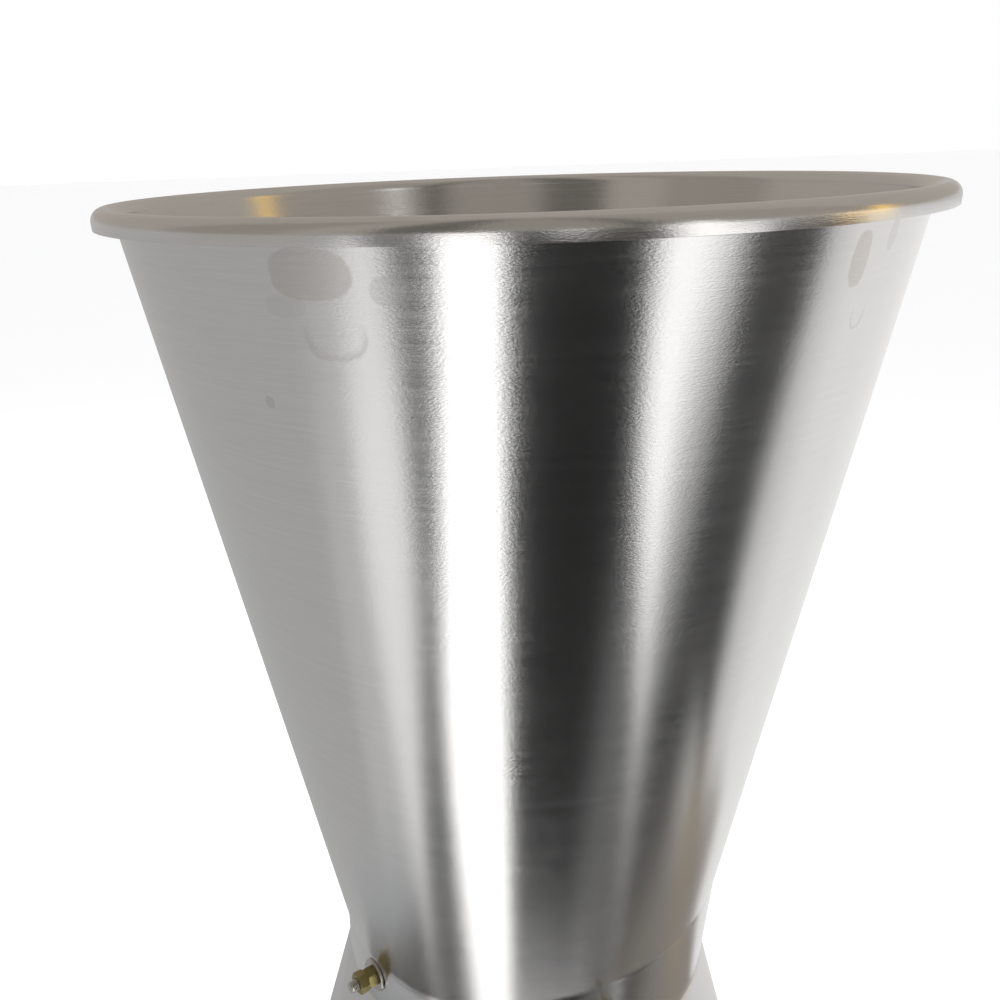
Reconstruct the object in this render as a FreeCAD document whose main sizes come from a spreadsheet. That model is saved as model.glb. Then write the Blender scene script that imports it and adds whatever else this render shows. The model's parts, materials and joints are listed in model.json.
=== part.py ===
import FreeCAD, Part
import math
import os
import re
import Sketcher

# Electric grape crusher and destemmer: a funnel hopper over two fluted rollers, over a beater that turns
# in a perforated screen. Millimetres, +Z up. The origin is on the floor, under the middle of the machine;
# +X runs along the shafts, from the belts on the left to the stem chute on the right. The front is -Y.

Vector = FreeCAD.Vector
Rotation = FreeCAD.Rotation
UP = Vector(0, 0, 1)
ALONG = Vector(1, 0, 0)

SIZES = {
    # overall
    "half_length": 430,
    "hopper_x": -150,
    # frame of square tube
    "tube": 40, "tube_wall": 2, "leg_x": 335, "leg_y": 140, "rail_top": 580, "low_rail": 60,
    "mid_post_x": -60, "post_play": 1, "foot_height": 20, "foot_radius": 26, "foot_plug": 25, "foot_play": 0.2,
    # hopper, rolled outward at its rim
    "rim_top": 1277, "rim_radius": 185, "hopper_wall": 1.5, "lip_roll": 5.25, "lip_skirt": 3.25,
    "seam_z": 895, "neck_radius": 100, "neck_bottom": 868,
    # bolts of the neck
    "neck_bolt_z": 886.4, "neck_bolt_turn": -17, "neck_bolt_spread": 38, "spare_hole_turn": 72,
    "bolt_hole": 3.3, "bolt_radius": 3, "spare_hole": 4.3, "washer_radius": 8.5, "washer_thick": 1.5,
    "nut_flats": 10, "nut_thick": 5, "bolt_end": 4.5, "bolt_head": 4,
    "head_play": 0.25,
    # hood under the neck
    "spigot_rise": 24, "slip_play": 0.1, "hood_wall": 2, "hood_corner": 20, "flange": 15,
    "flange_thick": 2.5, "gasket_thick": 2,
    # roller box and rollers
    "box_half_length": 145, "box_half_width": 100, "box_top": 680, "box_wall": 2.5,
    "roller_z": 634, "gear_module": 3, "gear_teeth": 31, "gear_width": 16, "gear_x": -335,
    "tooth_play": 0.15, "nip_gap": 5, "roller_end_gap": 3.5, "flute_count": 12, "flute_radius": 5,
    "roller_shaft": 10, "fit_play": 0.05, "bearing_flange": 37, "bearing_boss": 24,
    "bearing_plate": 8, "bearing_depth": 26, "bearing_bolts": 30, "shaft_end": 3,
    # trough, screen, beater
    "trough_half": 310, "trough_y": 115, "trough_bottom": 375, "trough_wall": 2.5, "trough_flange": 40,
    "pan_flange": 15, "end_wall": 3, "screen_radius": 88, "screen_wall": 1.5, "screen_hole": 10,
    "screen_pitch": 36, "screen_step": 25, "screen_flange": 62, "screen_end_gap": 1, "beater_z": 475,
    "beater_shaft": 12.5, "rod_radius": 6, "rod_count": 9, "rod_pitch": 65, "rod_first": -250,
    "rod_turn": 40, "rod_reach": 78, "paddle_reach": 84, "paddle_radius": 9, "paddle_length": 26,
    "stem_opening": 84, "shaft_hole": 14, "bridge_half": 96, "bridge_height": 76, "bridge_thick": 6,
    # deck, coaming and inspection lid
    "deck_plate": 2.5, "deck_y": 155, "deck_right": 350, "throat_half": 135, "throat_y": 85,
    "hatch_left": 40, "hatch_right": 280, "hatch_y": 75, "coaming_wall": 2, "coaming_rise": 12,
    "lid_wall": 2, "lid_play": 1, "lid_skirt": 10, "hinge_y": 88, "hinge_radius": 5, "pin_radius": 2.5,
    "hinge_inset": 50, "knuckle": 18, "ear": 10, "ear_play": 0.3, "strap": 26,
    "handle_half": 45, "handle_rise": 35, "handle_radius": 5, "handle_y": -60,
    # must pan and stem chute
    "spout_left": 40, "spout_right": 200, "spout_y": 60, "spout_top": 290, "spout_bottom": 262,
    "pan_wall": 2, "chute_y": 100, "chute_wall": 2, "chute_top": 520, "chute_start": 384,
    "chute_end": 330, "chute_lip": 70,
    # drive
    "belt_width": 12, "belt_thick": 5, "belt_play": 0.3, "rim_wide": 4, "rim_rise": 5,
    "drive_x": -400, "second_x": -372, "motor_pulley": 35, "beater_pulley": 120, "small_pulley": 28,
    "roller_pulley": 65, "pulley_web": 6, "pulley_hub": 28, "light_hole": 22, "light_circle": 72,
    "drive_end": -414, "roller_drive_end": -388, "idle_shaft_end": -347,
    # motor
    "plate_thick": 6, "plate_y": 90, "motor_clear": 16, "motor_radius": 64, "motor_wall": 6,
    "fin_rise": 6, "fin_thick": 2.5, "fin_count": 30, "motor_left": -318, "motor_length": 188,
    "shield_thick": 12, "motor_shaft": 9.5, "stator_radius": 57.9, "stator_bore": 38,
    "rotor_radius": 37.6, "core_length": 90, "fan_radius": 48, "fan_gap": 6, "fan_length": 18,
    "cowl_length": 38, "cowl_wall": 1.5, "motor_foot_y": 75, "motor_foot_thick": 8,
    "motor_foot_length": 100, "foot_bolt_y": 65, "foot_bolt_x": 40, "terminal_side": 60,
    "terminal_rise": 34,
    # belt guard and gear cover
    "guard_y": 133, "guard_wall": 2, "guard_bottom": 120, "guard_top": 720, "guard_step_z": 600,
    "guard_step_y": 60, "guard_flange_low": 140, "guard_flange_high": 570, "guard_flange_y": 155,
    "gear_cover_y": 100, "gear_cover_top": 690, "gear_cover_right": -314,
    # switch box
    "switch_x": 225, "switch_width": 70, "switch_depth": 52, "switch_height": 90, "switch_y": -150,
    "switch_wall": 2.5, "button_radius": 11, "button_play": 0.3, "button_length": 20,
    "button_proud": 8, "start_z": 60, "stop_z": 28, "gland_radius": 9, "gland_length": 18,
    # fasteners
    "screw_radius": 3, "screw_hole": 3.3, "screw_head": 4, "head_flats": 10, "screw_nut": 5,
    "big_screw": 4, "big_hole": 4.3, "big_flats": 13, "big_head": 5.5,
}

# Sizes that follow from the ones above.
RULES = {
    "leg_out": "leg_x + tube / 2",
    "motor_height": "motor_radius + motor_clear",
    "leg_in": "leg_x - tube / 2",
    "leg_in_y": "leg_y - tube / 2",
    "low_top": "low_rail + tube",
    "trough_top": "rail_top + trough_wall",
    "screen_top": "trough_top + screen_wall",
    "deck_top": "screen_top + deck_plate",
    "roller_y": "gear_module * gear_teeth / 2",
    "roller_radius": "roller_y - nip_gap / 2",
    "roller_half": "box_half_length - box_wall - roller_end_gap",
    "lip_z": "rim_top - lip_roll",
    "lip_centre": "rim_radius - lip_roll",
    "spigot_radius": "neck_radius - hopper_wall - slip_play",
    "spigot_bore": "spigot_radius - hood_wall",
    "gasket_top": "box_top + gasket_thick",
    "box_left": "hopper_x - box_half_length",
    "box_right": "hopper_x + box_half_length",
    "motor_z": "low_top + plate_thick + motor_height",
    "wall_out": "trough_half + end_wall",
    "bridge_out": "wall_out + bridge_thick",
    "hinge_z": "deck_top + coaming_rise + lid_wall / 2",
    "lid_low": "deck_top + coaming_rise",
    "lid_top": "lid_low + lid_wall",
    "lid_left": "hatch_left - coaming_wall - lid_play - lid_wall",
    "lid_right": "hatch_right + coaming_wall + lid_play + lid_wall",
    "lid_front": "hatch_y + coaming_wall + lid_play + lid_wall",
    "lid_middle": "(hatch_left + hatch_right) / 2",
    "slant": "sqrt((guard_y - guard_step_y)^2 + (guard_top - guard_step_z)^2)",
    "paddle_bore": "rod_radius + fit_play",
    "paddle_start": "paddle_reach - paddle_length",
    "motor_right": "motor_left + motor_length",
    "foot_middle": "motor_left + motor_length / 2",
    "cowl_radius": "motor_radius + fin_rise",
}

doc = FreeCAD.newDocument("CrusherDestemmer")
sheet = doc.addObject("Spreadsheet::Sheet", "Dims")
for row, (word, number) in enumerate(SIZES.items(), start=1):
    sheet.set("A%d" % row, word)
    sheet.set("B%d" % row, str(number))
    sheet.setAlias("B%d" % row, word)
doc.recompute()

subparts = []


def expand(rule):
    """Write a rule with its derived words worked out and its plain words pointing at the sheet."""
    def swap(match):
        word = match.group(0)
        if word in RULES:
            return "(" + expand(RULES[word]) + ")"
        return "Dims." + word if word in SIZES else word
    return re.sub(r"[a-z][a-z_]*", swap, str(rule))


def value(rule):
    """The number that a rule gives now."""
    return float(sheet.evalExpression(expand(rule)))


def values(*rules):
    return [value(rule) for rule in rules]


def bind(item, **rules):
    for name, rule in rules.items():
        item.setExpression(name.replace("__", "."), expand(rule))
    return item


def put(item, x="0", y="0", z="0"):
    """Set an object's place by rules."""
    return bind(item, Placement__Base__x=x, Placement__Base__y=y, Placement__Base__z=z)


def keep(item, label):
    """Make an object one of the machine's named pieces."""
    item.Label = label
    subparts.append(item)
    return item


def plane_of(body, role):
    return next(item for item in body.Origin.OriginFeatures if item.Role == role)


def draw(body, role, loops):
    """A sketch of closed loops. A corner is (across, up), or (across, up, centre across, centre up, turn)
    where the edge that leaves it is an arc; turn is 1 for anticlockwise and -1 for clockwise."""
    sketch = body.newObject("Sketcher::SketchObject", "Sketch")
    sketch.AttachmentSupport = [(plane_of(body, role), "")]
    sketch.MapMode = "FlatFace"
    for loop in loops:
        if loop[0] == "circle":
            draw_circle(sketch, *loop[1:])
        else:
            draw_corners(sketch, loop)
    return sketch


def fix_point(sketch, edge, end, across, up):
    for kind, rule in (("DistanceX", across), ("DistanceY", up)):
        pin(sketch, kind, edge, end, rule)


def pin(sketch, kind, edge, end, rule):
    index = sketch.addConstraint(Sketcher.Constraint(kind, -1, 1, edge, end, value(rule)))
    sketch.setExpression("Constraints[%d]" % index, expand(rule))


def draw_circle(sketch, across, up, radius):
    centre = Vector(value(across), value(up), 0)
    edge = sketch.addGeometry(Part.Circle(centre, UP, value(radius)))
    fix_point(sketch, edge, 3, across, up)
    index = sketch.addConstraint(Sketcher.Constraint("Radius", edge, value(radius)))
    sketch.setExpression("Constraints[%d]" % index, expand(radius))


def draw_corners(sketch, loop):
    edges = []
    for corner, after in zip(loop, loop[1:] + loop[:1]):
        start = Vector(*values(*corner[:2]), 0)
        end = Vector(*values(*after[:2]), 0)
        if len(corner) == 2:
            edge = sketch.addGeometry(Part.LineSegment(start, end))
            edges.append((edge, 1, 2))
            continue
        centre = Vector(*values(*corner[2:4]), 0)
        turn = corner[4]
        first, last = (start, end) if turn > 0 else (end, start)
        angle = math.atan2(first.y - centre.y, first.x - centre.x)
        stop = math.atan2(last.y - centre.y, last.x - centre.x)
        if stop <= angle:
            stop += 2 * math.pi
        circle = Part.Circle(centre, UP, start.distanceToPoint(centre))
        edge = sketch.addGeometry(Part.ArcOfCircle(circle, angle, stop))
        edges.append((edge, 1, 2) if turn > 0 else (edge, 2, 1))
        flat_chord = abs(end.x - start.x) > abs(end.y - start.y)
        pin(sketch, "DistanceY" if flat_chord else "DistanceX", edge, 3, corner[3 if flat_chord else 2])
    for here, after in zip(edges, edges[1:] + edges[:1]):
        sketch.addConstraint(Sketcher.Constraint("Coincident", here[0], here[2], after[0], after[1]))
    for (edge, begin, _), corner in zip(edges, loop):
        fix_point(sketch, edge, begin, corner[0], corner[1])


def new_body(x="0", y="0", z="0"):
    return put(doc.addObject("PartDesign::Body", "Body"), x, y, z)


def pad(body, role, loops, length, middle=False, backward=False):
    feature = body.newObject("PartDesign::Pad", "Pad")
    feature.Profile = draw(body, role, loops)
    feature.Reversed = backward
    feature.SideType = "Symmetric" if middle else "One side"
    return bind(feature, Length=length)


def pocket(body, role, loops, length=None, backward=False):
    """Cut a profile, through everything both ways or to a length one way."""
    feature = body.newObject("PartDesign::Pocket", "Pocket")
    feature.Profile = draw(body, role, loops)
    if length is None:
        feature.Type = "ThroughAll"
        feature.SideType = "Symmetric"
    else:
        feature.Reversed = backward
        bind(feature, Length=length)
    return feature


def rectangle(left, low, right, high):
    return [(left, low), (right, low), (right, high), (left, high)]


def centred(half_across, half_up):
    return rectangle("-(%s)" % half_across, "-(%s)" % half_up, half_across, half_up)


def turned(corners, upright=False, **place):
    """A body turned from corners (along, radius) about X, or about Z where it is upright."""
    body = new_body(**place)
    feature = body.newObject("PartDesign::Revolution", "Revolution")
    profile = [(radius, along) for along, radius in corners] if upright else corners
    sketch = draw(body, "XZ_Plane", [profile])
    feature.Profile = sketch
    feature.ReferenceAxis = (sketch, ["V_Axis" if upright else "H_Axis"])
    return body


def shaft(label, start, end, radius, y, z):
    corners = [(start, "0"), (start, "%s - 1" % radius), ("%s + 1" % start, radius),
               ("%s - 1" % end, radius), (end, "%s - 1" % radius), (end, "0")]
    return keep(turned(corners, y=y, z=z), label)


def ring(start, end, bore, radius, **place):
    return turned([(start, bore), (start, radius), (end, radius), (end, bore)], **place)


def solid(shape, name="Shape"):
    feature = doc.addObject("Part::Feature", name)
    feature.Shape = shape
    return feature


def copies(label, pattern, places):
    """Several copies of one piece, as separate solids of one node."""
    doc.recompute()
    shapes = [pattern.Shape.transformed(place.toMatrix(), True) for place in places]
    return keep(solid(Part.makeCompound(shapes)), label)


def at(x, y, z, turn=None):
    return FreeCAD.Placement(Vector(x, y, z), turn or Rotation())


def cut(label, base, tool):
    feature = doc.addObject("Part::Cut", "Cut")
    feature.Base = base
    feature.Tool = tool
    return keep(feature, label)


def drills(places, radius, depth):
    """Cylinders along each place's own Z, centred on it, to cut holes with."""
    bar = Part.makeCylinder(radius, depth, Vector(0, 0, -depth / 2))
    return solid(Part.makeCompound([bar.transformed(place.toMatrix(), True) for place in places]), "Drills")


def screw(radius, length, flats, head):
    """A hexagon screw with its head above its own origin and its shank below."""
    body = new_body()
    pad(body, "XY_Plane", [("circle", "0", "0", radius)], length, backward=True)
    across = "(%s) / cos(30)" % flats
    corners = [("(%s) / 2 * cos(%d)" % (across, 60 * i), "(%s) / 2 * sin(%d)" % (across, 60 * i))
               for i in range(6)]
    pad(body, "XY_Plane", [corners], head)
    return body


def nut(flats, bore, thick):
    body = new_body()
    across = "(%s) / cos(30)" % flats
    corners = [("(%s) / 2 * cos(%d)" % (across, 60 * i), "(%s) / 2 * sin(%d)" % (across, 60 * i))
               for i in range(6)]
    pad(body, "XY_Plane", [corners, ("circle", "0", "0", bore)], thick)
    return body


# ---- hopper and its neck bolts ----

def neck_places(radius, turns):
    """Places on the neck whose Z points outward."""
    height = value("neck_bolt_z")
    places = []
    for turn in turns:
        angle = math.radians(turn)
        out = Vector(math.sin(angle), -math.cos(angle), 0)
        middle = Vector(value("hopper_x"), 0, height) + out * radius
        places.append(FreeCAD.Placement(middle, Rotation(UP, out)))
    return places


def neck_turns():
    middle, spread = values("neck_bolt_turn", "neck_bolt_spread")
    return [middle - spread, middle + spread, middle + 180 - spread, middle + 180 + spread]


def hopper():
    bore = "neck_radius - hopper_wall"
    corners = [
        ("neck_bottom", bore),
        ("neck_bottom", "neck_radius"),
        ("seam_z", "neck_radius"),
        ("lip_z", "rim_radius - 2 * lip_roll + hopper_wall", "lip_z", "lip_centre", -1),
        ("lip_z", "rim_radius - hopper_wall"),
        ("lip_z - lip_skirt", "rim_radius - hopper_wall"),
        ("lip_z - lip_skirt", "rim_radius"),
        ("lip_z", "rim_radius", "lip_z", "lip_centre", 1),
        ("lip_z", "rim_radius - 2 * lip_roll"),
        ("seam_z", bore),
    ]
    body = new_body(x="hopper_x")
    feature = body.newObject("PartDesign::Revolution", "Revolution")
    profile = [(c[1], c[0]) + ((c[3], c[2], c[4]) if len(c) > 2 else ()) for c in corners]
    sketch = draw(body, "XZ_Plane", [profile])
    feature.Profile = sketch
    feature.ReferenceAxis = (sketch, ["V_Axis"])
    radius = value("neck_radius")
    cut("hopper", body, neck_drills(radius))


def neck_drills(radius):
    """The neck's bolt holes and its one open spare hole."""
    wide = 4 * value("hopper_wall + hood_wall")
    bolted = drills(neck_places(radius, neck_turns()), value("bolt_hole"), wide)
    spare = drills(neck_places(radius, [value("spare_hole_turn")]), value("spare_hole"), wide)
    return solid(Part.makeCompound([bolted.Shape, spare.Shape]))


def neck_fasteners():
    radius, bore = values("neck_radius", "spigot_bore")
    washer, thick, end = values("washer_thick", "nut_thick", "bolt_end")
    length = radius - bore + washer + 2 * thick + end
    turned_in = Rotation(ALONG, 180)
    bolt = screw("bolt_radius", str(length), "nut_flats", "bolt_head")
    seat = bore - value("head_play")
    inner = [place.multiply(FreeCAD.Placement(Vector(), turned_in)) for place in neck_places(seat, neck_turns())]
    copies("neck_bolts", bolt, inner)
    disc = new_body()
    pad(disc, "XY_Plane", [("circle", "0", "0", "washer_radius"), ("circle", "0", "0", "bolt_hole")],
        "washer_thick")
    copies("neck_washers", disc, neck_places(radius, neck_turns()))
    hexagon = nut("nut_flats", "bolt_radius + fit_play", "nut_thick")
    places = []
    for level in range(2):
        places += neck_places(radius + washer + level * thick, neck_turns())
    copies("neck_nuts", hexagon, places)


# ---- hood: round at the neck, rectangular at the roller box ----

def round_wire(radius, height):
    """A circle in eight arcs: a short one over each side and a long one over each corner."""
    stops = [quarter + step for quarter in (0, 90, 180, 270) for step in (-8, 8)]
    edges = []
    for start, stop in zip(stops, stops[1:] + [stops[0] + 360]):
        points = [Vector(radius * math.cos(math.radians(a)), radius * math.sin(math.radians(a)), height)
                  for a in (start, (start + stop) / 2, stop)]
        edges.append(Part.Arc(*points).toShape())
    return Part.Wire(edges)


def box_wire(half_x, half_y, corner, height):
    """A rectangle with round corners whose eight edges match round_wire's."""
    flat_x, flat_y = half_x - corner, half_y - corner
    middles = [(flat_x, flat_y, 0), (-flat_x, flat_y, 90), (-flat_x, -flat_y, 180), (flat_x, -flat_y, 270)]
    arcs = []
    for x, y, start in middles:
        points = [Vector(x + corner * math.cos(math.radians(start + a)),
                         y + corner * math.sin(math.radians(start + a)), height) for a in (0, 45, 90)]
        arcs.append(points)
    edges = []
    for before, here in zip(arcs[-1:] + arcs[:-1], arcs):
        edges.append(Part.LineSegment(before[2], here[0]).toShape())
        edges.append(Part.Arc(*here).toShape())
    return Part.Wire(edges)


def hood():
    top, low, wall = values("neck_bottom", "gasket_top", "hood_wall")
    long_half, wide_half, corner = values("box_half_length", "box_half_width", "hood_corner")
    radius, bore, spigot = values("neck_radius", "spigot_bore", "spigot_radius")
    rise, flange, thick = values("spigot_rise", "flange", "flange_thick")
    outer = Part.makeLoft([round_wire(radius, top), box_wire(long_half, wide_half, corner, low)], True, True)
    inner = Part.makeLoft([round_wire(bore, top),
                           box_wire(long_half - wall, wide_half - wall, corner - wall, low)], True, True)
    collar = Part.makeCylinder(spigot, rise, Vector(0, 0, top))
    hollow = Part.makeCylinder(bore, rise, Vector(0, 0, top))
    plate = Part.makeBox(2 * (long_half + flange), 2 * (wide_half + flange), thick,
                         Vector(-long_half - flange, -wide_half - flange, low))
    shell = outer.fuse([collar, plate]).cut(inner.fuse(hollow)).removeSplitter()
    shell.translate(Vector(value("hopper_x"), 0, 0))
    body = solid(shell, "HoodBlank")
    tools = solid(Part.makeCompound([neck_drills(spigot).Shape, flange_drills.Shape]))
    cut("hood", body, tools)


def flange_points():
    """Screw places on the flanges of the roller box, from above: three a side."""
    x, long_half, wide_half, flange = values("hopper_x", "box_half_length", "box_half_width", "flange")
    return [(x + step * long_half * 0.8, side * (wide_half + flange / 2))
            for step in (-1, 0, 1) for side in (-1, 1)]


flange_drills = drills([at(x, y, value("(box_top + deck_top) / 2")) for x, y in flange_points()],
                       value("screw_hole"), 2 * value("box_top - rail_top"))


# ---- roller box with its bearings ----

def roller_box():
    body = new_body(x="hopper_x")
    inside = centred("box_half_length - box_wall", "box_half_width - box_wall")
    box_height = "box_top - deck_top"
    pad(body, "XY_Plane", [centred("box_half_length", "box_half_width"), inside], box_height)
    wide = centred("box_half_length + flange", "box_half_width + flange")
    pad(body, "XY_Plane", [wide, inside], "flange_thick")
    rim = pad(body, "XY_Plane", [wide, inside], "flange_thick")
    rim.Profile[0].AttachmentOffset = at(0, 0, value("%s - flange_thick" % box_height))
    rim.Profile[0].setExpression("AttachmentOffset.Base.z", expand("%s - flange_thick" % box_height))
    pocket(body, "YZ_Plane", [("circle", side + "roller_y", "roller_z - deck_top", "roller_shaft + 1")
                              for side in ("", "-")])
    bind(body, Placement__Base__z="deck_top")
    bolts = solid(Part.makeCompound([flange_drills.Shape, bearing_drills(roller_seats()).Shape]))
    cut("roller_box", body, bolts)


def roller_seats():
    """Each roller bearing's place: its Z points away from the wall that carries it."""
    left, right, y, z = values("box_left", "box_right", "roller_y", "roller_z")
    return [at(x, side * y, z, Rotation(UP, Vector(way, 0, 0)))
            for x, way in ((left, -1), (right, 1)) for side in (-1, 1)]


def beater_seats():
    left, right, z = values("-wall_out", "bridge_out", "beater_z")
    return [at(x, 0, z, Rotation(UP, Vector(way, 0, 0))) for x, way in ((left, -1), (right, 1))]


def bolt_offsets(seats, height):
    """The two screw places of each bearing, above and below its shaft, at a height over its seat."""
    reach = value("bearing_bolts")
    places = []
    for seat in seats:
        out = seat.Rotation.multVec(UP)
        for side in (-1, 1):
            places.append(FreeCAD.Placement(seat.Base + out * height + UP * (side * reach), seat.Rotation))
    return places


def bearing_drills(seats):
    return drills(bolt_offsets(seats, 0), value("screw_hole"), value("bearing_depth"))


def bearing(bore):
    """A flanged bearing housing whose seat is at z = 0, with its two screw holes."""
    corners = [("0", bore), ("0", "bearing_flange"), ("bearing_plate", "bearing_flange"),
               ("bearing_plate", "bearing_boss"), ("bearing_depth - 2", "bearing_boss"),
               ("bearing_depth", "bearing_boss - 2"), ("bearing_depth", bore)]
    body = turned(corners, upright=True)
    pocket(body, "XY_Plane", [("circle", side + "bearing_bolts", "0", "screw_hole") for side in ("", "-")])
    return body


def bearings():
    copies("roller_bearings", bearing("roller_shaft + fit_play"), roller_seats())
    copies("beater_bearings", bearing("beater_shaft + fit_play"), beater_seats())
    pattern = screw("screw_radius", "bearing_plate + box_wall + 1", "head_flats", "screw_head")
    seats = roller_seats() + beater_seats()
    copies("bearing_screws", pattern, bolt_offsets(seats, value("bearing_plate")))


# ---- rollers and gears ----

def roller(label, side):
    body = new_body(x="hopper_x", y=side + "roller_y", z="roller_z")
    pad(body, "YZ_Plane", [("circle", "0", "0", "roller_radius"),
                           ("circle", "0", "0", "roller_shaft + fit_play")], "2 * roller_half", middle=True)
    flute = pocket(body, "YZ_Plane", [("circle", "0", "roller_radius + flute_radius * 0.4", "flute_radius")])
    flutes = body.newObject("PartDesign::PolarPattern", "Flutes")
    flutes.Originals = [flute]
    flutes.Axis = (plane_axis(body, "X_Axis"), [""])
    flutes.Angle = 360
    bind(flutes, Occurrences="flute_count")
    body.Tip = flutes
    keep(body, label)


def plane_axis(body, role):
    return next(item for item in body.Origin.OriginFeatures if item.Role == role)


def involute_point(base, radius, middle):
    """The point at a radius on the involute of a base circle; middle is the flank's angle at that circle."""
    pressure = math.acos(min(1, base / radius))
    angle = middle + math.tan(pressure) - pressure
    return radius, angle


def gear_face(teeth, module, play):
    """A spur gear's outline in the YZ plane, with one tooth pointing along +Y."""
    pitch = module * teeth / 2
    base = pitch * math.cos(math.radians(20))
    root, tip = pitch - 1.25 * module, pitch + module
    slope = math.tan(math.radians(20)) - math.radians(20)
    half = math.pi / (2 * teeth) - play / pitch + slope
    radii = [max(base, root) + (tip - max(base, root)) * step / 4 for step in range(5)]
    flank = [(root, -half)] + [involute_point(base, radius, -half) for radius in radii]
    tooth = flank + [(radius, -angle) for radius, angle in reversed(flank)]
    points = []
    for index in range(teeth):
        turn = 2 * math.pi * index / teeth
        points += [Vector(0, radius * math.cos(angle + turn), radius * math.sin(angle + turn))
                   for radius, angle in tooth]
    return Part.Face(Part.makePolygon(points + points[:1]))


def gear(label, side):
    """Both gears point a tooth along +Y: with an odd count, the rear one meets it with a gap."""
    module, width, x, y, z = values("gear_module", "gear_width", "gear_x", side + "roller_y", "roller_z")
    bore = value("roller_shaft + fit_play")
    wheel = gear_face(int(value("gear_teeth")), module, value("tooth_play")).extrude(ALONG * width)
    wheel = wheel.cut(Part.makeCylinder(bore, width, Vector(), ALONG))
    feature = keep(solid(wheel), label)
    feature.Placement = at(x - width / 2, y, z)


def rollers():
    for label, side in (("front", "-"), ("rear", "")):
        roller("roller_" + label, side)
        gear("roller_gear_" + label, side)
    right = "box_right + bearing_depth + shaft_end"
    shaft("roller_shaft_front", "roller_drive_end", right, "roller_shaft", "-roller_y", "roller_z")
    shaft("roller_shaft_rear", "idle_shaft_end", right, "roller_shaft", "roller_y", "roller_z")


# ---- frame ----

def square_tube(role, length, **place):
    body = new_body(**place)
    pad(body, role, [centred("tube / 2", "tube / 2"), centred("tube / 2 - tube_wall", "tube / 2 - tube_wall")],
        length, middle=(role != "XY_Plane"))
    return body


def corners_of_frame(height):
    x, y = values("leg_x", "leg_y")
    return [at(way * x, side * y, height) for way in (-1, 1) for side in (-1, 1)]


def frame():
    leg_x, leg_y, tube, top = values("leg_x", "leg_y", "tube", "rail_top")
    leg = square_tube("XY_Plane", "rail_top - foot_height", z="foot_height")
    post = square_tube("XY_Plane", "rail_top - tube - low_rail", x="mid_post_x", y="-leg_y", z="low_rail")
    doc.recompute()
    legs = [leg.Shape.transformed(place.toMatrix(), True) for place in corners_of_frame(0)]
    posts = solid(Part.makeCompound(legs + [post.Shape]))
    cut("frame_posts", posts, drills(guard_points(0), value("screw_hole"), value("tube / 2")))
    foot = turned([("0", "0"), ("0", "foot_radius - 2"), ("2", "foot_radius"),
                   ("foot_height", "foot_radius"), ("foot_height", "tube / 2 - tube_wall - foot_play"),
                   ("foot_height + foot_plug", "tube / 2 - tube_wall - foot_play"),
                   ("foot_height + foot_plug", "0")], upright=True)
    copies("rubber_feet", foot, corners_of_frame(0))
    long_rail = square_tube("YZ_Plane", "2 * leg_in")
    high, low = top - tube / 2, value("low_rail") + tube / 2
    doc.recompute()
    rails = [long_rail.Shape.transformed(at(0, side * leg_y, high).toMatrix(), True) for side in (-1, 1)]
    cut("top_rails", solid(Part.makeCompound(rails)), deck_drills)
    short_rail = square_tube("YZ_Plane", "leg_in + mid_post_x - tube / 2",
                             x="(mid_post_x - tube / 2 - leg_in) / 2", y="-leg_y")
    doc.recompute()
    both = [long_rail.Shape.transformed(at(0, leg_y, low).toMatrix(), True),
            short_rail.Shape.transformed(at(0, 0, low).toMatrix(), True)]
    keep(solid(Part.makeCompound(both)), "lower_rails")
    cross = square_tube("XZ_Plane", "2 * leg_in_y")
    places = [at(way * leg_x, 0, high) for way in (-1, 1)]
    places += [at(x, 0, low) for x in (-leg_x, value("mid_post_x"), leg_x)]
    copies("cross_rails", cross, places)


# ---- deck, trough and screen ----

def deck_points():
    reach, y = values("leg_in * 0.9", "leg_y")
    return [(step * reach, side * y) for step in (-1, 0, 1) for side in (-1, 1)]


deck_drills = drills([at(x, y, value("rail_top")) for x, y in deck_points()], value("screw_hole"),
                     value("tube"))


def pan_points():
    reach, y = values("trough_half * 0.85", "trough_y + pan_flange / 2")
    return [(step * reach, side * y) for step in (-1, 0, 1) for side in (-1, 1)]


pan_drills = drills([at(x, y, value("trough_bottom")) for x, y in pan_points()], value("screw_hole"),
                    value("tube"))


def post_notch():
    """The room that the middle post takes out of the trough's and the pan's flanges."""
    x, side, y, low, high = values("mid_post_x", "tube + 2 * post_play", "leg_in_y - post_play", "low_rail",
                                   "rail_top - tube")
    return Part.makeBox(side, side, high - low, Vector(x - side / 2, -y - side, low))


def deck():
    body = new_body(z="screen_top")
    throat = rectangle("hopper_x - throat_half", "-throat_y", "hopper_x + throat_half", "throat_y")
    hatch = rectangle("hatch_left", "-hatch_y", "hatch_right", "hatch_y")
    outline = rectangle("-trough_half", "-deck_y", "deck_right", "deck_y")
    pad(body, "XY_Plane", [outline, throat, hatch], "deck_plate")
    wall = rectangle("hatch_left - coaming_wall", "-(hatch_y + coaming_wall)",
                     "hatch_right + coaming_wall", "hatch_y + coaming_wall")
    pad(body, "XY_Plane", [wall, hatch], "deck_plate + coaming_rise")
    holes = solid(Part.makeCompound([deck_drills.Shape, flange_drills.Shape]))
    cut("deck", body, holes)


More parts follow.
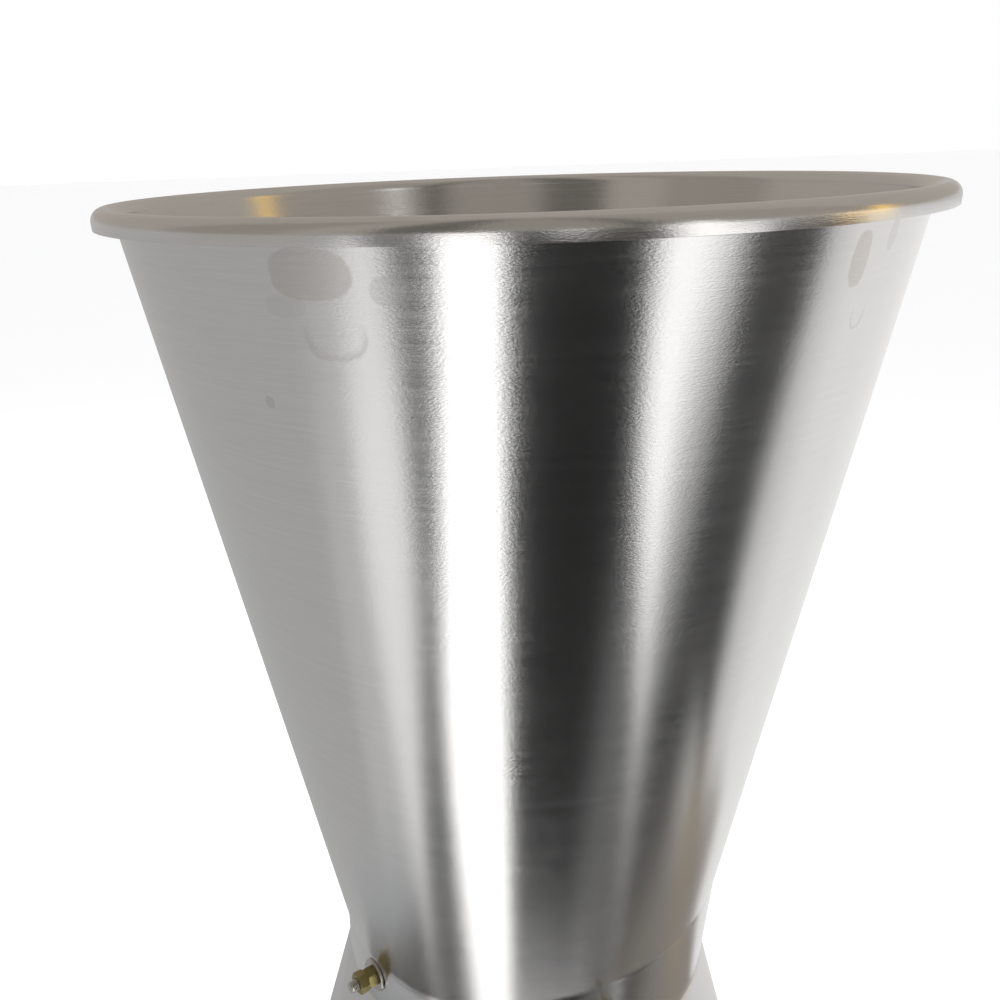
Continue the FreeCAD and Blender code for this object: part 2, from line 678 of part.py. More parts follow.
def trough_side(side):
    body = new_body()
    inner, outer = side + "(trough_y - trough_wall)", side + "trough_y"
    lip, foot = side + "(trough_y + trough_flange)", side + "(trough_y + pan_flange)"
    corners = [(inner, "trough_bottom"), (foot, "trough_bottom"), (foot, "trough_bottom + trough_wall"),
               (outer, "trough_bottom + trough_wall"), (outer, "rail_top"), (lip, "rail_top"),
               (lip, "trough_top"), (inner, "trough_top")]
    pad(body, "YZ_Plane", [corners], "2 * trough_half", middle=True)
    doc.recompute()
    return body.Shape


def trough_walls():
    both = solid(Part.makeCompound([trough_side("-"), trough_side("")]))
    tools = [deck_drills.Shape, pan_drills.Shape, post_notch()]
    cut("trough_walls", both, solid(Part.makeCompound(tools)))


def end_walls():
    outline = rectangle("-trough_y", "trough_bottom", "trough_y", "trough_top")
    left = new_body(x="-trough_half")
    pad(left, "YZ_Plane", [outline, ("circle", "0", "beater_z", "shaft_hole")], "end_wall", backward=True)
    seats = beater_seats()
    right = new_body(x="trough_half")
    pad(right, "YZ_Plane", [outline, ("circle", "0", "beater_z", "stem_opening")], "end_wall")
    doc.recompute()
    cut("end_walls", solid(Part.makeCompound([left.Shape, right.Shape])), bearing_drills(seats[:1]))
    bridge = new_body(x="wall_out", z="beater_z")
    pad(bridge, "YZ_Plane", [centred("bridge_half", "bridge_height / 2"),
                             ("circle", "0", "0", "shaft_hole")], "bridge_thick")
    cut("bearing_bridge", bridge, bearing_drills(seats[1:]))


def screen():
    inner, outer = "screen_radius", "(screen_radius + screen_wall)"
    wide = "(screen_radius + screen_flange)"
    corners = [
        ("-" + wide, "trough_top"), ("-" + wide, "screen_top"), ("-" + inner, "screen_top"),
        ("-" + inner, "beater_z", "0", "beater_z", 1),
        (inner, "beater_z"), (inner, "screen_top"), (wide, "screen_top"), (wide, "trough_top"),
        (outer, "trough_top"),
        (outer, "beater_z", "0", "beater_z", -1),
        ("-" + outer, "beater_z"), ("-" + outer, "trough_top"),
    ]
    body = new_body()
    pad(body, "YZ_Plane", [corners], "2 * (trough_half - screen_end_gap)", middle=True)
    half, pitch, step, height = values("trough_half", "screen_pitch", "screen_step", "beater_z")
    radius, wall = values("screen_radius", "screen_wall")
    columns = int((half - pitch / 2) / pitch)
    places = []
    for row in range(-3, 4):
        angle = math.radians(row * step)
        down = Vector(0, math.sin(angle), -math.cos(angle))
        shift = pitch / 2 if row % 2 else 0
        for column in range(-columns, columns):
            middle = Vector(column * pitch + shift + pitch / 4, 0, height) + down * (radius + wall / 2)
            places.append(FreeCAD.Placement(middle, Rotation(UP, down)))
    holes = drills(places, value("screen_hole"), 8 * wall)
    cut("screen", body, solid(Part.makeCompound([holes.Shape, deck_drills.Shape, flange_drills.Shape])))


# ---- beater ----

def beater():
    shaft_ends = ("drive_end", "bridge_out + bearing_depth + shaft_end")
    corners = [(shaft_ends[0], "0"), (shaft_ends[0], "beater_shaft"), (shaft_ends[1], "beater_shaft"),
               (shaft_ends[1], "0")]
    bar = turned(corners, z="beater_z")
    first, pitch, step, height = values("rod_first", "rod_pitch", "rod_turn", "beater_z")
    places = [at(first + index * pitch, 0, height, Rotation(ALONG, index * step))
              for index in range(int(value("rod_count")))]
    cut("beater_shaft", bar, drills(places, value("rod_radius + fit_play"), 4 * value("beater_shaft")))
    rod = turned([("-rod_reach", "0"), ("-rod_reach", "rod_radius"), ("rod_reach", "rod_radius"),
                  ("rod_reach", "0")], upright=True)
    copies("beater_rods", rod, places)
    cap = turned([("paddle_start", "paddle_bore"), ("paddle_start", "paddle_radius"),
                  ("paddle_reach - 2", "paddle_radius"), ("paddle_reach", "paddle_radius - 2"),
                  ("paddle_reach", "0"), ("rod_reach", "0"), ("rod_reach", "paddle_bore")], upright=True)
    flip = FreeCAD.Placement(Vector(), Rotation(ALONG, 180))
    copies("beater_paddles", cap, places + [place.multiply(flip) for place in places])


# ---- deck fasteners ----

def flange_fasteners():
    """The six-millimetre screws of hood, roller box, deck and must pan, and the nuts under them."""
    pattern = screw("screw_radius", "18", "head_flats", "screw_head")
    over_hood = value("gasket_top + flange_thick")
    over_box = value("deck_top + flange_thick")
    over_pan, over_guard = values("trough_bottom + trough_wall", "guard_wall")
    places = [at(x, y, over_hood) for x, y in flange_points()]
    places += [at(x, y, over_box) for x, y in flange_points()]
    places += [at(x, y, value("deck_top")) for x, y in deck_points()]
    places += [at(x, y, over_pan) for x, y in pan_points()]
    copies("flange_screws", pattern, places + guard_points(over_guard))
    hexagon = nut("head_flats", "screw_radius + fit_play", "screw_nut")
    under_box = value("box_top - flange_thick - screw_nut")
    under_pan = value("trough_bottom - flange_thick - screw_nut")
    places = [at(x, y, under_box) for x, y in flange_points()]
    places += [at(x, y, under_pan) for x, y in pan_points()]
    copies("flange_nuts", hexagon, places)
    seal = new_body(x="hopper_x", z="box_top")
    pad(seal, "XY_Plane", [centred("box_half_length + flange", "box_half_width + flange"),
                           centred("box_half_length - box_wall", "box_half_width - box_wall")],
        "gasket_thick")
    cut("hood_gasket", seal, flange_drills)


# ---- inspection lid ----

def hinge_xs():
    left, right, inset = values("hatch_left", "hatch_right", "hinge_inset")
    return left + inset, right - inset


def ridge(width, low, post_half):
    """A barrel along X at the hinge axis with a post under it, bored for the pin."""
    body = new_body()
    pad(body, "YZ_Plane", [rectangle("-" + post_half, low, post_half, "0")], width, middle=True)
    pad(body, "YZ_Plane", [("circle", "0", "0", "hinge_radius")], width, middle=True)
    pocket(body, "YZ_Plane", [("circle", "0", "0", "pin_radius + fit_play")])
    return body


def lid():
    outer = put(doc.addObject("Part::Box", "LidOuter"), "lid_left", "-lid_front", "lid_top - lid_wall - lid_skirt")
    bind(outer, Length="lid_right - lid_left", Width="2 * lid_front", Height="lid_skirt + lid_wall")
    inner = put(doc.addObject("Part::Box", "LidInner"), "lid_left + lid_wall", "-lid_front + lid_wall",
                "lid_low - lid_skirt - lid_wall")
    bind(inner, Length="lid_right - lid_left - 2 * lid_wall", Width="2 * lid_front",
         Height="lid_skirt + lid_wall")
    cut("lid", outer, inner)
    y, z, knuckle, ear, play = values("hinge_y", "hinge_z", "knuckle", "ear", "ear_play")
    ear_pattern = ridge("ear", "deck_top - hinge_z", "hinge_radius")
    reach = (knuckle + ear) / 2 + play
    copies("hinge_ears", ear_pattern, [at(x + way * reach, y, z) for x in hinge_xs() for way in (-1, 1)])
    leaf = new_body()
    pad(leaf, "YZ_Plane", [rectangle("-strap", "lid_top - hinge_z", "0", "lid_top - hinge_z + lid_wall")],
        "knuckle", middle=True)
    pad(leaf, "YZ_Plane", [("circle", "0", "0", "hinge_radius")], "knuckle", middle=True)
    pocket(leaf, "YZ_Plane", [("circle", "0", "0", "pin_radius + fit_play")])
    copies("hinge_knuckles", leaf, [at(x, y, z) for x in hinge_xs()])
    pin_bar = turned([("-(knuckle / 2 + ear + 2)", "0"), ("-(knuckle / 2 + ear + 2)", "pin_radius"),
                      ("knuckle / 2 + ear + 2", "pin_radius"), ("knuckle / 2 + ear + 2", "0")])
    copies("hinge_pins", pin_bar, [at(x, y, z) for x in hinge_xs()])
    lid_handle()


def lid_handle():
    half, rise, radius = values("handle_half", "handle_rise", "handle_radius")
    middle, y, low = values("lid_middle", "handle_y", "lid_top")
    top = rise - radius
    parts = []
    for way in (-1, 1):
        foot = Vector(middle + way * half, y, low)
        parts.append(Part.makeCylinder(radius, top, foot))
        parts.append(Part.makeSphere(radius, foot + UP * top))
        parts.append(Part.makeCylinder(2 * radius, 2, foot))
    grip = Part.makeCylinder(radius, 2 * half, Vector(middle - half, y, low + top), ALONG)
    keep(solid(grip.multiFuse(parts).removeSplitter()), "lid_handle")


# ---- must pan and stem chute ----

def flat_wire(left, right, half, height):
    corners = [Vector(left, -half, height), Vector(right, -half, height), Vector(right, half, height),
               Vector(left, half, height)]
    return Part.makePolygon(corners + corners[:1])


def funnel(shrink):
    """The pan's form, drawn in by a wall's thickness."""
    half, y, high = values("trough_half", "trough_y", "trough_bottom")
    left, right, spout_y, low, end = values("spout_left", "spout_right", "spout_y", "spout_top", "spout_bottom")
    wide = flat_wire(-half + shrink, half - shrink, y - shrink, high)
    mouth = flat_wire(left + shrink, right - shrink, spout_y - shrink, low)
    bottom = flat_wire(left + shrink, right - shrink, spout_y - shrink, end)
    return Part.makeLoft([wide, mouth], True, True).fuse(Part.makeLoft([mouth, bottom], True, True))


def must_pan():
    half, y, high, flange, thick = values("trough_half", "trough_y", "trough_bottom", "pan_flange", "flange_thick")
    rim = Part.makeBox(2 * half, 2 * (y + flange), thick, Vector(-half, -y - flange, high - thick))
    shell = funnel(0).fuse(rim).cut(funnel(value("pan_wall"))).removeSplitter()
    tools = solid(Part.makeCompound([pan_drills.Shape, post_notch()]))
    cut("must_pan", solid(shell, "PanBlank"), tools)


def stem_chute():
    body = new_body()
    cheek = [("wall_out", "chute_start"), ("half_length", "chute_end"),
             ("half_length", "chute_end + chute_lip"), ("wall_out", "chute_top")]
    pad(body, "XZ_Plane", [cheek], "2 * chute_y", middle=True)
    room = [("wall_out - 5", "chute_start + chute_wall + 2"), ("wall_out", "chute_start + chute_wall"),
            ("half_length", "chute_end + chute_wall"),
            ("half_length + 5", "chute_end + chute_wall"), ("half_length + 5", "chute_top + 5"),
            ("wall_out - 5", "chute_top + 5")]
    hollow = body.newObject("PartDesign::Pocket", "Pocket")
    hollow.Profile = draw(body, "XZ_Plane", [room])
    hollow.SideType = "Symmetric"
    bind(hollow, Length="2 * (chute_y - chute_wall)")
    keep(body, "stem_chute")


# ---- pulleys, belts and guards ----

def pulley(label, radius, x, y, z, bore, web=False):
    half = "(belt_width / 2 + belt_play)"
    edge = "(%s + rim_wide)" % half
    rim = "(%s + rim_rise)" % radius
    bore = "(%s + fit_play)" % bore
    groove = [("-" + edge, rim), ("-" + half, rim), ("-" + half, radius), (half, radius), (half, rim),
              (edge, rim)]
    if web:
        inside = "(%s - 8)" % radius
        lower = [(edge, inside), ("pulley_web / 2", inside), ("pulley_web / 2", "pulley_hub"),
                 (edge, "pulley_hub"), (edge, bore), ("-" + edge, bore), ("-" + edge, "pulley_hub"),
                 ("-pulley_web / 2", "pulley_hub"), ("-pulley_web / 2", inside), ("-" + edge, inside)]
    else:
        lower = [(edge, bore), ("-" + edge, bore)]
    body = turned(groove + lower, x=x, y=y, z=z)
    if web:
        hole = pocket(body, "YZ_Plane", [("circle", "0", "light_circle", "light_hole")])
        holes = body.newObject("PartDesign::PolarPattern", "Holes")
        holes.Originals = [hole]
        holes.Axis = (plane_axis(body, "X_Axis"), [""])
        holes.Angle = 360
        holes.Occurrences = 6
        body.Tip = holes
    keep(body, label)


def belt_face(start, start_radius, end, end_radius):
    """The shape of a taut belt round two pulleys, in the YZ plane."""
    line = end.sub(start)
    away = math.acos((start_radius - end_radius) / line.Length)
    bearing_angle = math.atan2(line.z, line.y)

    def rim(middle, radius, angle):
        return middle + Vector(0, radius * math.cos(angle), radius * math.sin(angle))

    high, low = bearing_angle + away, bearing_angle - away
    back = bearing_angle + math.pi
    edges = [
        Part.LineSegment(rim(start, start_radius, low), rim(end, end_radius, low)).toShape(),
        Part.Arc(rim(end, end_radius, low), rim(end, end_radius, bearing_angle),
                 rim(end, end_radius, high)).toShape(),
        Part.LineSegment(rim(end, end_radius, high), rim(start, start_radius, high)).toShape(),
        Part.Arc(rim(start, start_radius, high), rim(start, start_radius, back),
                 rim(start, start_radius, low)).toShape(),
    ]
    return Part.Face(Part.Wire(edges))


def belt(label, x, start, start_radius, end, end_radius):
    play, thick, width = values("belt_play", "belt_thick", "belt_width")
    first, last = Vector(0, *values(*start)), Vector(0, *values(*end))
    small, large = values(start_radius, end_radius)
    outer = belt_face(first, small + play + thick, last, large + play + thick).extrude(ALONG * width)
    inner = belt_face(first, small + play, last, large + play).extrude(ALONG * width)
    feature = keep(solid(outer.cut(inner)), label)
    feature.Placement = at(value(x) - width / 2, 0, 0)


def drive():
    pulley("motor_pulley", "motor_pulley", "drive_x", "0", "motor_z", "motor_shaft")
    pulley("beater_pulley", "beater_pulley", "drive_x", "0", "beater_z", "beater_shaft", web=True)
    pulley("small_pulley", "small_pulley", "second_x", "0", "beater_z", "beater_shaft")
    pulley("roller_pulley", "roller_pulley", "second_x", "-roller_y", "roller_z", "roller_shaft")
    belt("drive_belt", "drive_x", ("0", "motor_z"), "motor_pulley", ("0", "beater_z"), "beater_pulley")
    belt("roller_belt", "second_x", ("0", "beater_z"), "small_pulley", ("-roller_y", "roller_z"),
         "roller_pulley")


def guard_points(height):
    """The guard's screw places on the frame's left legs, at a height over the leg's face."""
    x, y = values("leg_out", "(guard_y + guard_flange_y) / 2")
    return [at(-x - height, side * y, z, Rotation(UP, -ALONG))
            for side in (-1, 1) for z in values("guard_flange_low + 40", "guard_flange_high - 40")]


def belt_guard():
    body = new_body(x="-leg_out")
    outline = [("-guard_y", "guard_bottom"), ("guard_y", "guard_bottom"), ("guard_y", "guard_step_z"),
               ("guard_step_y", "guard_top"), ("-guard_y", "guard_top")]
    pad(body, "YZ_Plane", [outline], "half_length - leg_out", backward=True)
    edge = rectangle("-guard_flange_y", "guard_flange_low", "guard_flange_y", "guard_flange_high")
    pad(body, "YZ_Plane", [edge], "guard_wall", backward=True)
    run, rise = "(guard_y - guard_step_y)", "(guard_top - guard_step_z)"
    inner = [("-guard_y + guard_wall", "guard_bottom + guard_wall"),
             ("guard_y - guard_wall", "guard_bottom + guard_wall"),
             ("guard_y - guard_wall", "guard_step_z - guard_wall * (slant - %s) / %s" % (rise, run)),
             ("guard_step_y - guard_wall * (slant - %s) / %s" % (run, rise), "guard_top - guard_wall"),
             ("-guard_y + guard_wall", "guard_top - guard_wall")]
    pocket(body, "YZ_Plane", [inner], "half_length - leg_out - guard_wall")
    doc.recompute()
    if body.Shape.Volume > value("(half_length - leg_out) * guard_y * guard_top") / 2:
        raise RuntimeError("the guard was not hollowed")
    cut("belt_guard", body, drills(guard_points(0), value("screw_hole"), 4 * value("guard_wall")))
    cover = new_body(x="-leg_out")
    corners = [("-gear_cover_y", "rail_top"), ("-gear_cover_y", "gear_cover_top"),
               ("gear_cover_y", "gear_cover_top"), ("gear_cover_y", "rail_top"),
               ("gear_cover_y - guard_wall", "rail_top"),
               ("gear_cover_y - guard_wall", "gear_cover_top - guard_wall"),
               ("-gear_cover_y + guard_wall", "gear_cover_top - guard_wall"),
               ("-gear_cover_y + guard_wall", "rail_top")]
    pad(cover, "YZ_Plane", [corners], "gear_cover_right + leg_out")
    keep(cover, "gear_cover")


# ---- motor ----

def motor_foot_places(height):
    x, y = values("foot_bolt_x", "foot_bolt_y")
    return [at(value("foot_middle") + way * x, side * y, height) for way in (-1, 1) for side in (-1, 1)]


def motor():
    floor = value("low_top + plate_thick")
    tools = drills(motor_foot_places(floor), value("big_hole"), 40)
    plate = put(doc.addObject("Part::Box", "PlateBlank"), "-leg_out", "-plate_y", "low_top")
    bind(plate, Length="leg_out + mid_post_x + tube / 2", Width="2 * plate_y", Height="plate_thick")
    cut("motor_plate", plate, tools)
    body = new_body(x="motor_left", z="motor_z")
    bore = ("circle", "0", "0", "motor_radius - motor_wall")
    pad(body, "YZ_Plane", [("circle", "0", "0", "motor_radius"), bore], "motor_length")
    fin = pad(body, "YZ_Plane", [rectangle("-fin_thick / 2", "motor_radius - 2", "fin_thick / 2",
                                           "motor_radius + fin_rise")], "motor_length")
    fins = body.newObject("PartDesign::PolarPattern", "Fins")
    fins.Originals = [fin]
    fins.Axis = (plane_axis(body, "X_Axis"), [""])
    fins.Angle = 360
    bind(fins, Occurrences="fin_count")
    body.Tip = fins
    sole = "-motor_height + motor_foot_thick"
    feet = [("-motor_foot_y", "-motor_height"), ("motor_foot_y", "-motor_height"), ("motor_foot_y", sole),
            ("motor_foot_y * 0.4", sole), ("motor_foot_y * 0.4", "-motor_radius + motor_wall / 2"),
            ("-motor_foot_y * 0.4", "-motor_radius + motor_wall / 2"), ("-motor_foot_y * 0.4", sole),
            ("-motor_foot_y", sole)]
    base = pad(body, "YZ_Plane", [feet], "motor_foot_length")
    base.Profile[0].setExpression("AttachmentOffset.Base.z",
                                  expand("(motor_length - motor_foot_length) / 2"))
    cut("motor_housing", body, tools)
    bolt = screw("big_screw", "motor_foot_thick + plate_thick", "big_flats", "big_head")
    copies("motor_bolts", bolt, motor_foot_places(value("low_top + plate_thick + motor_foot_thick")))
    hole = "motor_shaft + fit_play"
    shield = ring("0", "shield_thick", hole, "cowl_radius", z="motor_z")
    left, right, thick = values("motor_left", "motor_right", "shield_thick")
    copies("motor_end_shields", shield, [at(left - thick, 0, 0), at(right, 0, 0)])
    half = "core_length / 2"
    keep(ring("-" + half, half, "stator_bore", "stator_radius", x="foot_middle", z="motor_z"), "motor_stator")
    keep(ring("-" + half, half, hole, "rotor_radius", x="foot_middle", z="motor_z"), "motor_rotor")
    keep(ring("shield_thick + fan_gap", "shield_thick + fan_gap + fan_length", hole, "fan_radius",
              x="motor_right", z="motor_z"), "motor_fan")
    shaft("motor_shaft", "drive_end", "motor_right + shield_thick + fan_gap + fan_length", "motor_shaft",
          "0", "motor_z")
    fan_cowl()
    terminal = put(doc.addObject("Part::Box", "Terminal"), "foot_middle - terminal_side / 2",
                   "-terminal_side / 2", "motor_z + motor_radius + fin_rise")
    bind(terminal, Length="terminal_side", Width="terminal_side", Height="terminal_rise")
    keep(terminal, "terminal_box")


def fan_cowl():
    wall, reach = "cowl_wall", "(shield_thick + cowl_length)"
    corners = [("shield_thick", "cowl_radius - cowl_wall"), ("shield_thick", "cowl_radius"),
               (reach, "cowl_radius - 4"), (reach, "8"), (reach + " - " + wall, "8"),
               (reach + " - " + wall, "cowl_radius - 4 - cowl_wall")]
    body = turned(corners, x="motor_right", z="motor_z")
    slot = pocket(body, "YZ_Plane", [("circle", "0", "cowl_radius * 0.6", "5")])
    slots = body.newObject("PartDesign::PolarPattern", "Slots")
    slots.Originals = [slot]
    slots.Axis = (plane_axis(body, "X_Axis"), [""])
    slots.Angle = 360
    slots.Occurrences = 12
    body.Tip = slots
    keep(body, "fan_cover")


# ---- switch box ----

def switch_box():
    outer = put(doc.addObject("Part::Box", "SwitchOuter"), "switch_x", "switch_y", "deck_top")
    bind(outer, Length="switch_width", Width="switch_depth", Height="switch_height")
    edges = doc.addObject("Part::Fillet", "SwitchRound")
    edges.Base = outer
    doc.recompute()
    upright = [index for index, edge in enumerate(outer.Shape.Edges, start=1)
               if abs(edge.tangentAt(edge.FirstParameter).z) > 0.9]
    edges.Edges = [(index, 5, 5) for index in upright]
    inner = put(doc.addObject("Part::Box", "SwitchInner"), "switch_x + switch_wall",
                "switch_y + switch_wall", "deck_top - switch_wall")
    bind(inner, Length="switch_width - 2 * switch_wall", Width="switch_depth - 2 * switch_wall",
         Height="switch_height")
    shell = doc.addObject("Part::Cut", "SwitchShell")
    shell.Base = edges
    shell.Tool = inner
    middle = value("switch_x + switch_width / 2")
    front = value("switch_y")
    facing = Rotation(UP, Vector(0, -1, 0))
    heights = values("deck_top + start_z", "deck_top + stop_z")
    places = [at(middle, front, height, facing) for height in heights]
    holes = drills(places, value("button_radius + button_play"), 6 * value("switch_wall"))
    cut("switch_box", shell, holes)
    button = turned([("button_proud - button_length", "0"), ("button_proud - button_length", "button_radius"),
                     ("button_proud - 1.5", "button_radius"), ("button_proud", "button_radius - 1.5"),
                     ("button_proud", "0")], upright=True)
    for label, place in zip(("start_button", "stop_button"), places):
        copies(label, button, [place])
    gland = turned([("0", "3.5"), ("0", "gland_radius"), ("6", "gland_radius"), ("6", "gland_radius - 1.5"),
                    ("gland_length - 3", "gland_radius - 1.5"), ("gland_length", "gland_radius - 3.5"),
                    ("gland_length", "3.5")], upright=True)
    sideways = Rotation(UP, ALONG)
    box_gland = at(value("switch_x + switch_width"), value("switch_y + switch_depth / 2"),
                   value("deck_top + switch_height / 2"), sideways)
    motor_gland = at(value("foot_middle + terminal_side / 2"), 0,
                     value("motor_z + motor_radius + fin_rise + terminal_rise / 2"), sideways)
    copies("cable_glands", gland, [box_gland, motor_gland])


hopper()
neck_fasteners()
hood()
roller_box()
bearings()
rollers()
frame()
deck()
trough_walls()
end_walls()
screen()
beater()
flange_fasteners()
lid()
must_pan()
stem_chute()
drive()
belt_guard()
motor()
switch_box()

doc.recompute()
for item in doc.Objects:
    if "Invalid" in item.State or "Error" in item.State:
        raise RuntimeError("%s (%s) failed: %s" % (item.Label, item.Name, item.State))
os.makedirs("parts", exist_ok=True)
for item in subparts:
    if item.Shape.isNull() or not item.Shape.isValid() or not item.Shape.Solids:
        raise RuntimeError("%s has no valid shape" % item.Label)
for item in subparts:
    item.Shape.exportStep("parts/%s.step" % item.Label)
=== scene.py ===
import json
import math

import bpy
from mathutils import Matrix, Vector


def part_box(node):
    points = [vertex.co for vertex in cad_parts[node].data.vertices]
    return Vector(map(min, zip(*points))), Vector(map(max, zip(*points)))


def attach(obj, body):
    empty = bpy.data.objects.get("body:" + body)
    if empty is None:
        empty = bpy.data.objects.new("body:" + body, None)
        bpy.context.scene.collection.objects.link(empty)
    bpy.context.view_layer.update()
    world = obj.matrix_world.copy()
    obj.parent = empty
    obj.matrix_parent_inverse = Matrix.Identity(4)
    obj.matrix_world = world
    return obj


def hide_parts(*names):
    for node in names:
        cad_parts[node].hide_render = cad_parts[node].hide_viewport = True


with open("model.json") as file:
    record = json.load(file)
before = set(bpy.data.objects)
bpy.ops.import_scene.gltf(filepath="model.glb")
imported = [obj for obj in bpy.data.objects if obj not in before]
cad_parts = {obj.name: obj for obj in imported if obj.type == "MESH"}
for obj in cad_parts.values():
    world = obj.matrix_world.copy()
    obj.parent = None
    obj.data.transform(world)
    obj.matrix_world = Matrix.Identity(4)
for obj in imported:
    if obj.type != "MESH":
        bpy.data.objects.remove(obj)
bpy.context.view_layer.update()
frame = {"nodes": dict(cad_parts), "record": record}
nodes = frame["nodes"]

MM = 0.001
SLOTS = {part["node"]: part["material_slot"] for part in frame["record"]["subparts"]}

# Places that the frame gives.
hopper_low, hopper_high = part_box("hopper")
AXIS = (hopper_low + hopper_high) / 2
RIM = (hopper_high.y - hopper_low.y) / 2
RIM_TOP = hopper_high.z
NECK_BOTTOM = hopper_low.z

# The hopper's own sheet-metal sizes.
WALL = 1.5 * MM
LIP_ROLL = 5.25 * MM
LIP_SKIRT = 3.25 * MM
NECK = 100 * MM
SEAM_RISE = 27 * MM
NECK_BOLT_RISE = 18.4 * MM
NECK_BOLT_TURNS = (-55, 21, 125, 201)
SPARE_HOLE_TURN = 72
BOLT_HOLE = 3.3 * MM
SPARE_HOLE = 4.3 * MM
HOLE_TOOL = 6 * MM  # half the length of the rod that cuts a hole

# The neck's seam: its mean height over SEAM_RISE, how far it leans, and its small raised weld.
SEAM_LIFT = 9.5 * MM
SEAM_LEAN = 20 * MM
WELD_REACH = 0.8 * MM

# The neck's bolts, washers and nuts (an M6 bolt with a 10 mm nut).
BOLT_SEAT = 96.15 * MM  # the head bears on the hood's spigot from inside
BOLT_RADIUS = 2.95 * MM
BOLT_PITCH = 1.0 * MM
BOLT_END = 4.3 * MM  # bare thread beyond the outer nut
WASHER_THICK = 1.5 * MM
WASHER_RADIUS = 8.5 * MM
WASHER_BORE = 3.3 * MM
NUT_FLATS = 10 * MM
NUT_BORE = 3.05 * MM
NUT_THICK = 5 * MM
NUT_TURNS = (17, 43)

# The camera: turns in degrees, and its place from the hopper's axis and the floor.
CAMERA_PITCH = 18.84
CAMERA_ROLL = -2.10
CAMERA_LEFT = 0.0362
CAMERA_BACK = 0.4936
CAMERA_HEIGHT = 1.2964
CAMERA_LENS = 37.42
CAMERA_SHIFT = 0.0544

# The reflectors round the hopper: distances from its axis, and heights.
WALL_REACH = 4.0
WALL_FOOT = 1.0
WALL_TOP = 1.5
FLOOR_CARD = 0.002  # just over the floor
CARD_STEPS = 10


# ---- camera ----

def make_camera():
    """The photograph's viewpoint: close to the hopper, level with its rim and looking down."""
    camera = bpy.data.objects.new("camera", bpy.data.cameras.new("camera"))
    bpy.context.scene.collection.objects.link(camera)
    pitch, roll = math.radians(CAMERA_PITCH), math.radians(CAMERA_ROLL)
    ahead = Vector((0, math.cos(pitch), -math.sin(pitch)))
    up = Vector((0, math.sin(pitch), math.cos(pitch)))
    right = Vector((1, 0, 0))
    across = right * math.cos(roll) + up * math.sin(roll)
    upward = up * math.cos(roll) - right * math.sin(roll)
    turn = Matrix((across, upward, -ahead)).transposed()
    place = Matrix.Translation((AXIS.x - CAMERA_LEFT, AXIS.y - CAMERA_BACK, CAMERA_HEIGHT))
    camera.matrix_world = place @ turn.to_4x4()
    camera.data.sensor_width = 36
    camera.data.lens = CAMERA_LENS
    camera.data.shift_x = CAMERA_SHIFT
    camera.data.clip_start = 0.01
    bpy.context.scene.camera = camera


# ---- node helpers ----

class Paint:
    """A node material: add() makes a node, and a socket given as an input is linked."""

    def __init__(self, name):
        self.material = bpy.data.materials.new(name)
        self.material.use_nodes = True
        self.tree = self.material.node_tree
        self.shader = self.tree.nodes["Principled BSDF"]

    def add(self, kind, settings=None, **inputs):
        node = self.tree.nodes.new("ShaderNode" + kind)
        for key, setting in (settings or {}).items():
            setattr(node, key, setting)
        for key, entry in inputs.items():
            key = key.replace("_", " ")
            socket = node.inputs[int(key[1:])] if key[0] == "i" and key[1:].isdigit() else node.inputs[key]
            self.feed(socket, entry)
        return node

    def feed(self, socket, entry):
        if isinstance(entry, bpy.types.NodeSocket):
            self.tree.links.new(entry, socket)
        else:
            socket.default_value = entry

    def set(self, **inputs):
        for key, entry in inputs.items():
            self.feed(self.shader.inputs[key.replace("_", " ")], entry)

    def math(self, operation, first, second=0.0):
        node = self.add("Math", {"operation": operation}, i0=first, i1=second)
        return node.outputs[0]

    def position(self):
        return self.add("TexCoord").outputs["Object"]

    def scaled(self, vector, scale, turn=(0, 0, 0)):
        node = self.add("Mapping", i0=vector, Scale=scale, Rotation=turn)
        return node.outputs[0]

    def noise(self, vector, scale, detail=3.0, rough=0.5):
        node = self.add("TexNoise", Vector=vector, Scale=scale, Detail=detail, Roughness=rough)
        return node.outputs["Fac"]

    def ramp(self, value, stops):
        """A smooth map of a value to numbers or colours, as (place, number or colour) stops."""
        node = self.add("ValToRGB", Fac=value)
        elements = node.color_ramp.elements
        while len(elements) < len(stops):
            elements.new(0.5)
        for element, (place, shade) in zip(elements, stops):
            element.position = place
            element.color = (*shade, 1) if isinstance(shade, tuple) else (shade, shade, shade, 1)
        return node.outputs[0]

    def mix(self, amount, first, second):
        node = self.add("Mix", {"data_type": "RGBA"})
        self.feed(node.inputs[0], amount)
        self.feed(node.inputs[6], first)
        self.feed(node.inputs[7], second)
        return node.outputs[2]

    def bump(self, height, distance, strength=1.0):
        node = self.add("Bump", Height=height, Distance=distance, Strength=strength)
        self.set(Normal=node.outputs[0])


def grey(level, warm=0.0):
    return (level * (1 + warm), level, level * (1 - warm), 1)


# ---- materials ----

def round_coordinates(paint):
    """Distance round the hopper's axis, height, and distance from the axis, as one vector."""
    local = paint.add("VectorMath", {"operation": "SUBTRACT"}, i0=paint.position(),
                      i1=(AXIS.x, AXIS.y, 0)).outputs[0]
    parts = paint.add("SeparateXYZ", Vector=local)
    x, y, z = parts.outputs[0], parts.outputs[1], parts.outputs[2]
    square = paint.math("ADD", paint.math("MULTIPLY", x, x), paint.math("MULTIPLY", y, y))
    reach = paint.math("SQRT", square)
    angle = paint.math("ARCTAN2", x, paint.math("MULTIPLY", y, -1.0))
    across = paint.math("MULTIPLY", angle, 0.15)
    return paint.add("CombineXYZ", X=across, Y=z, Z=reach).outputs[0], angle, z


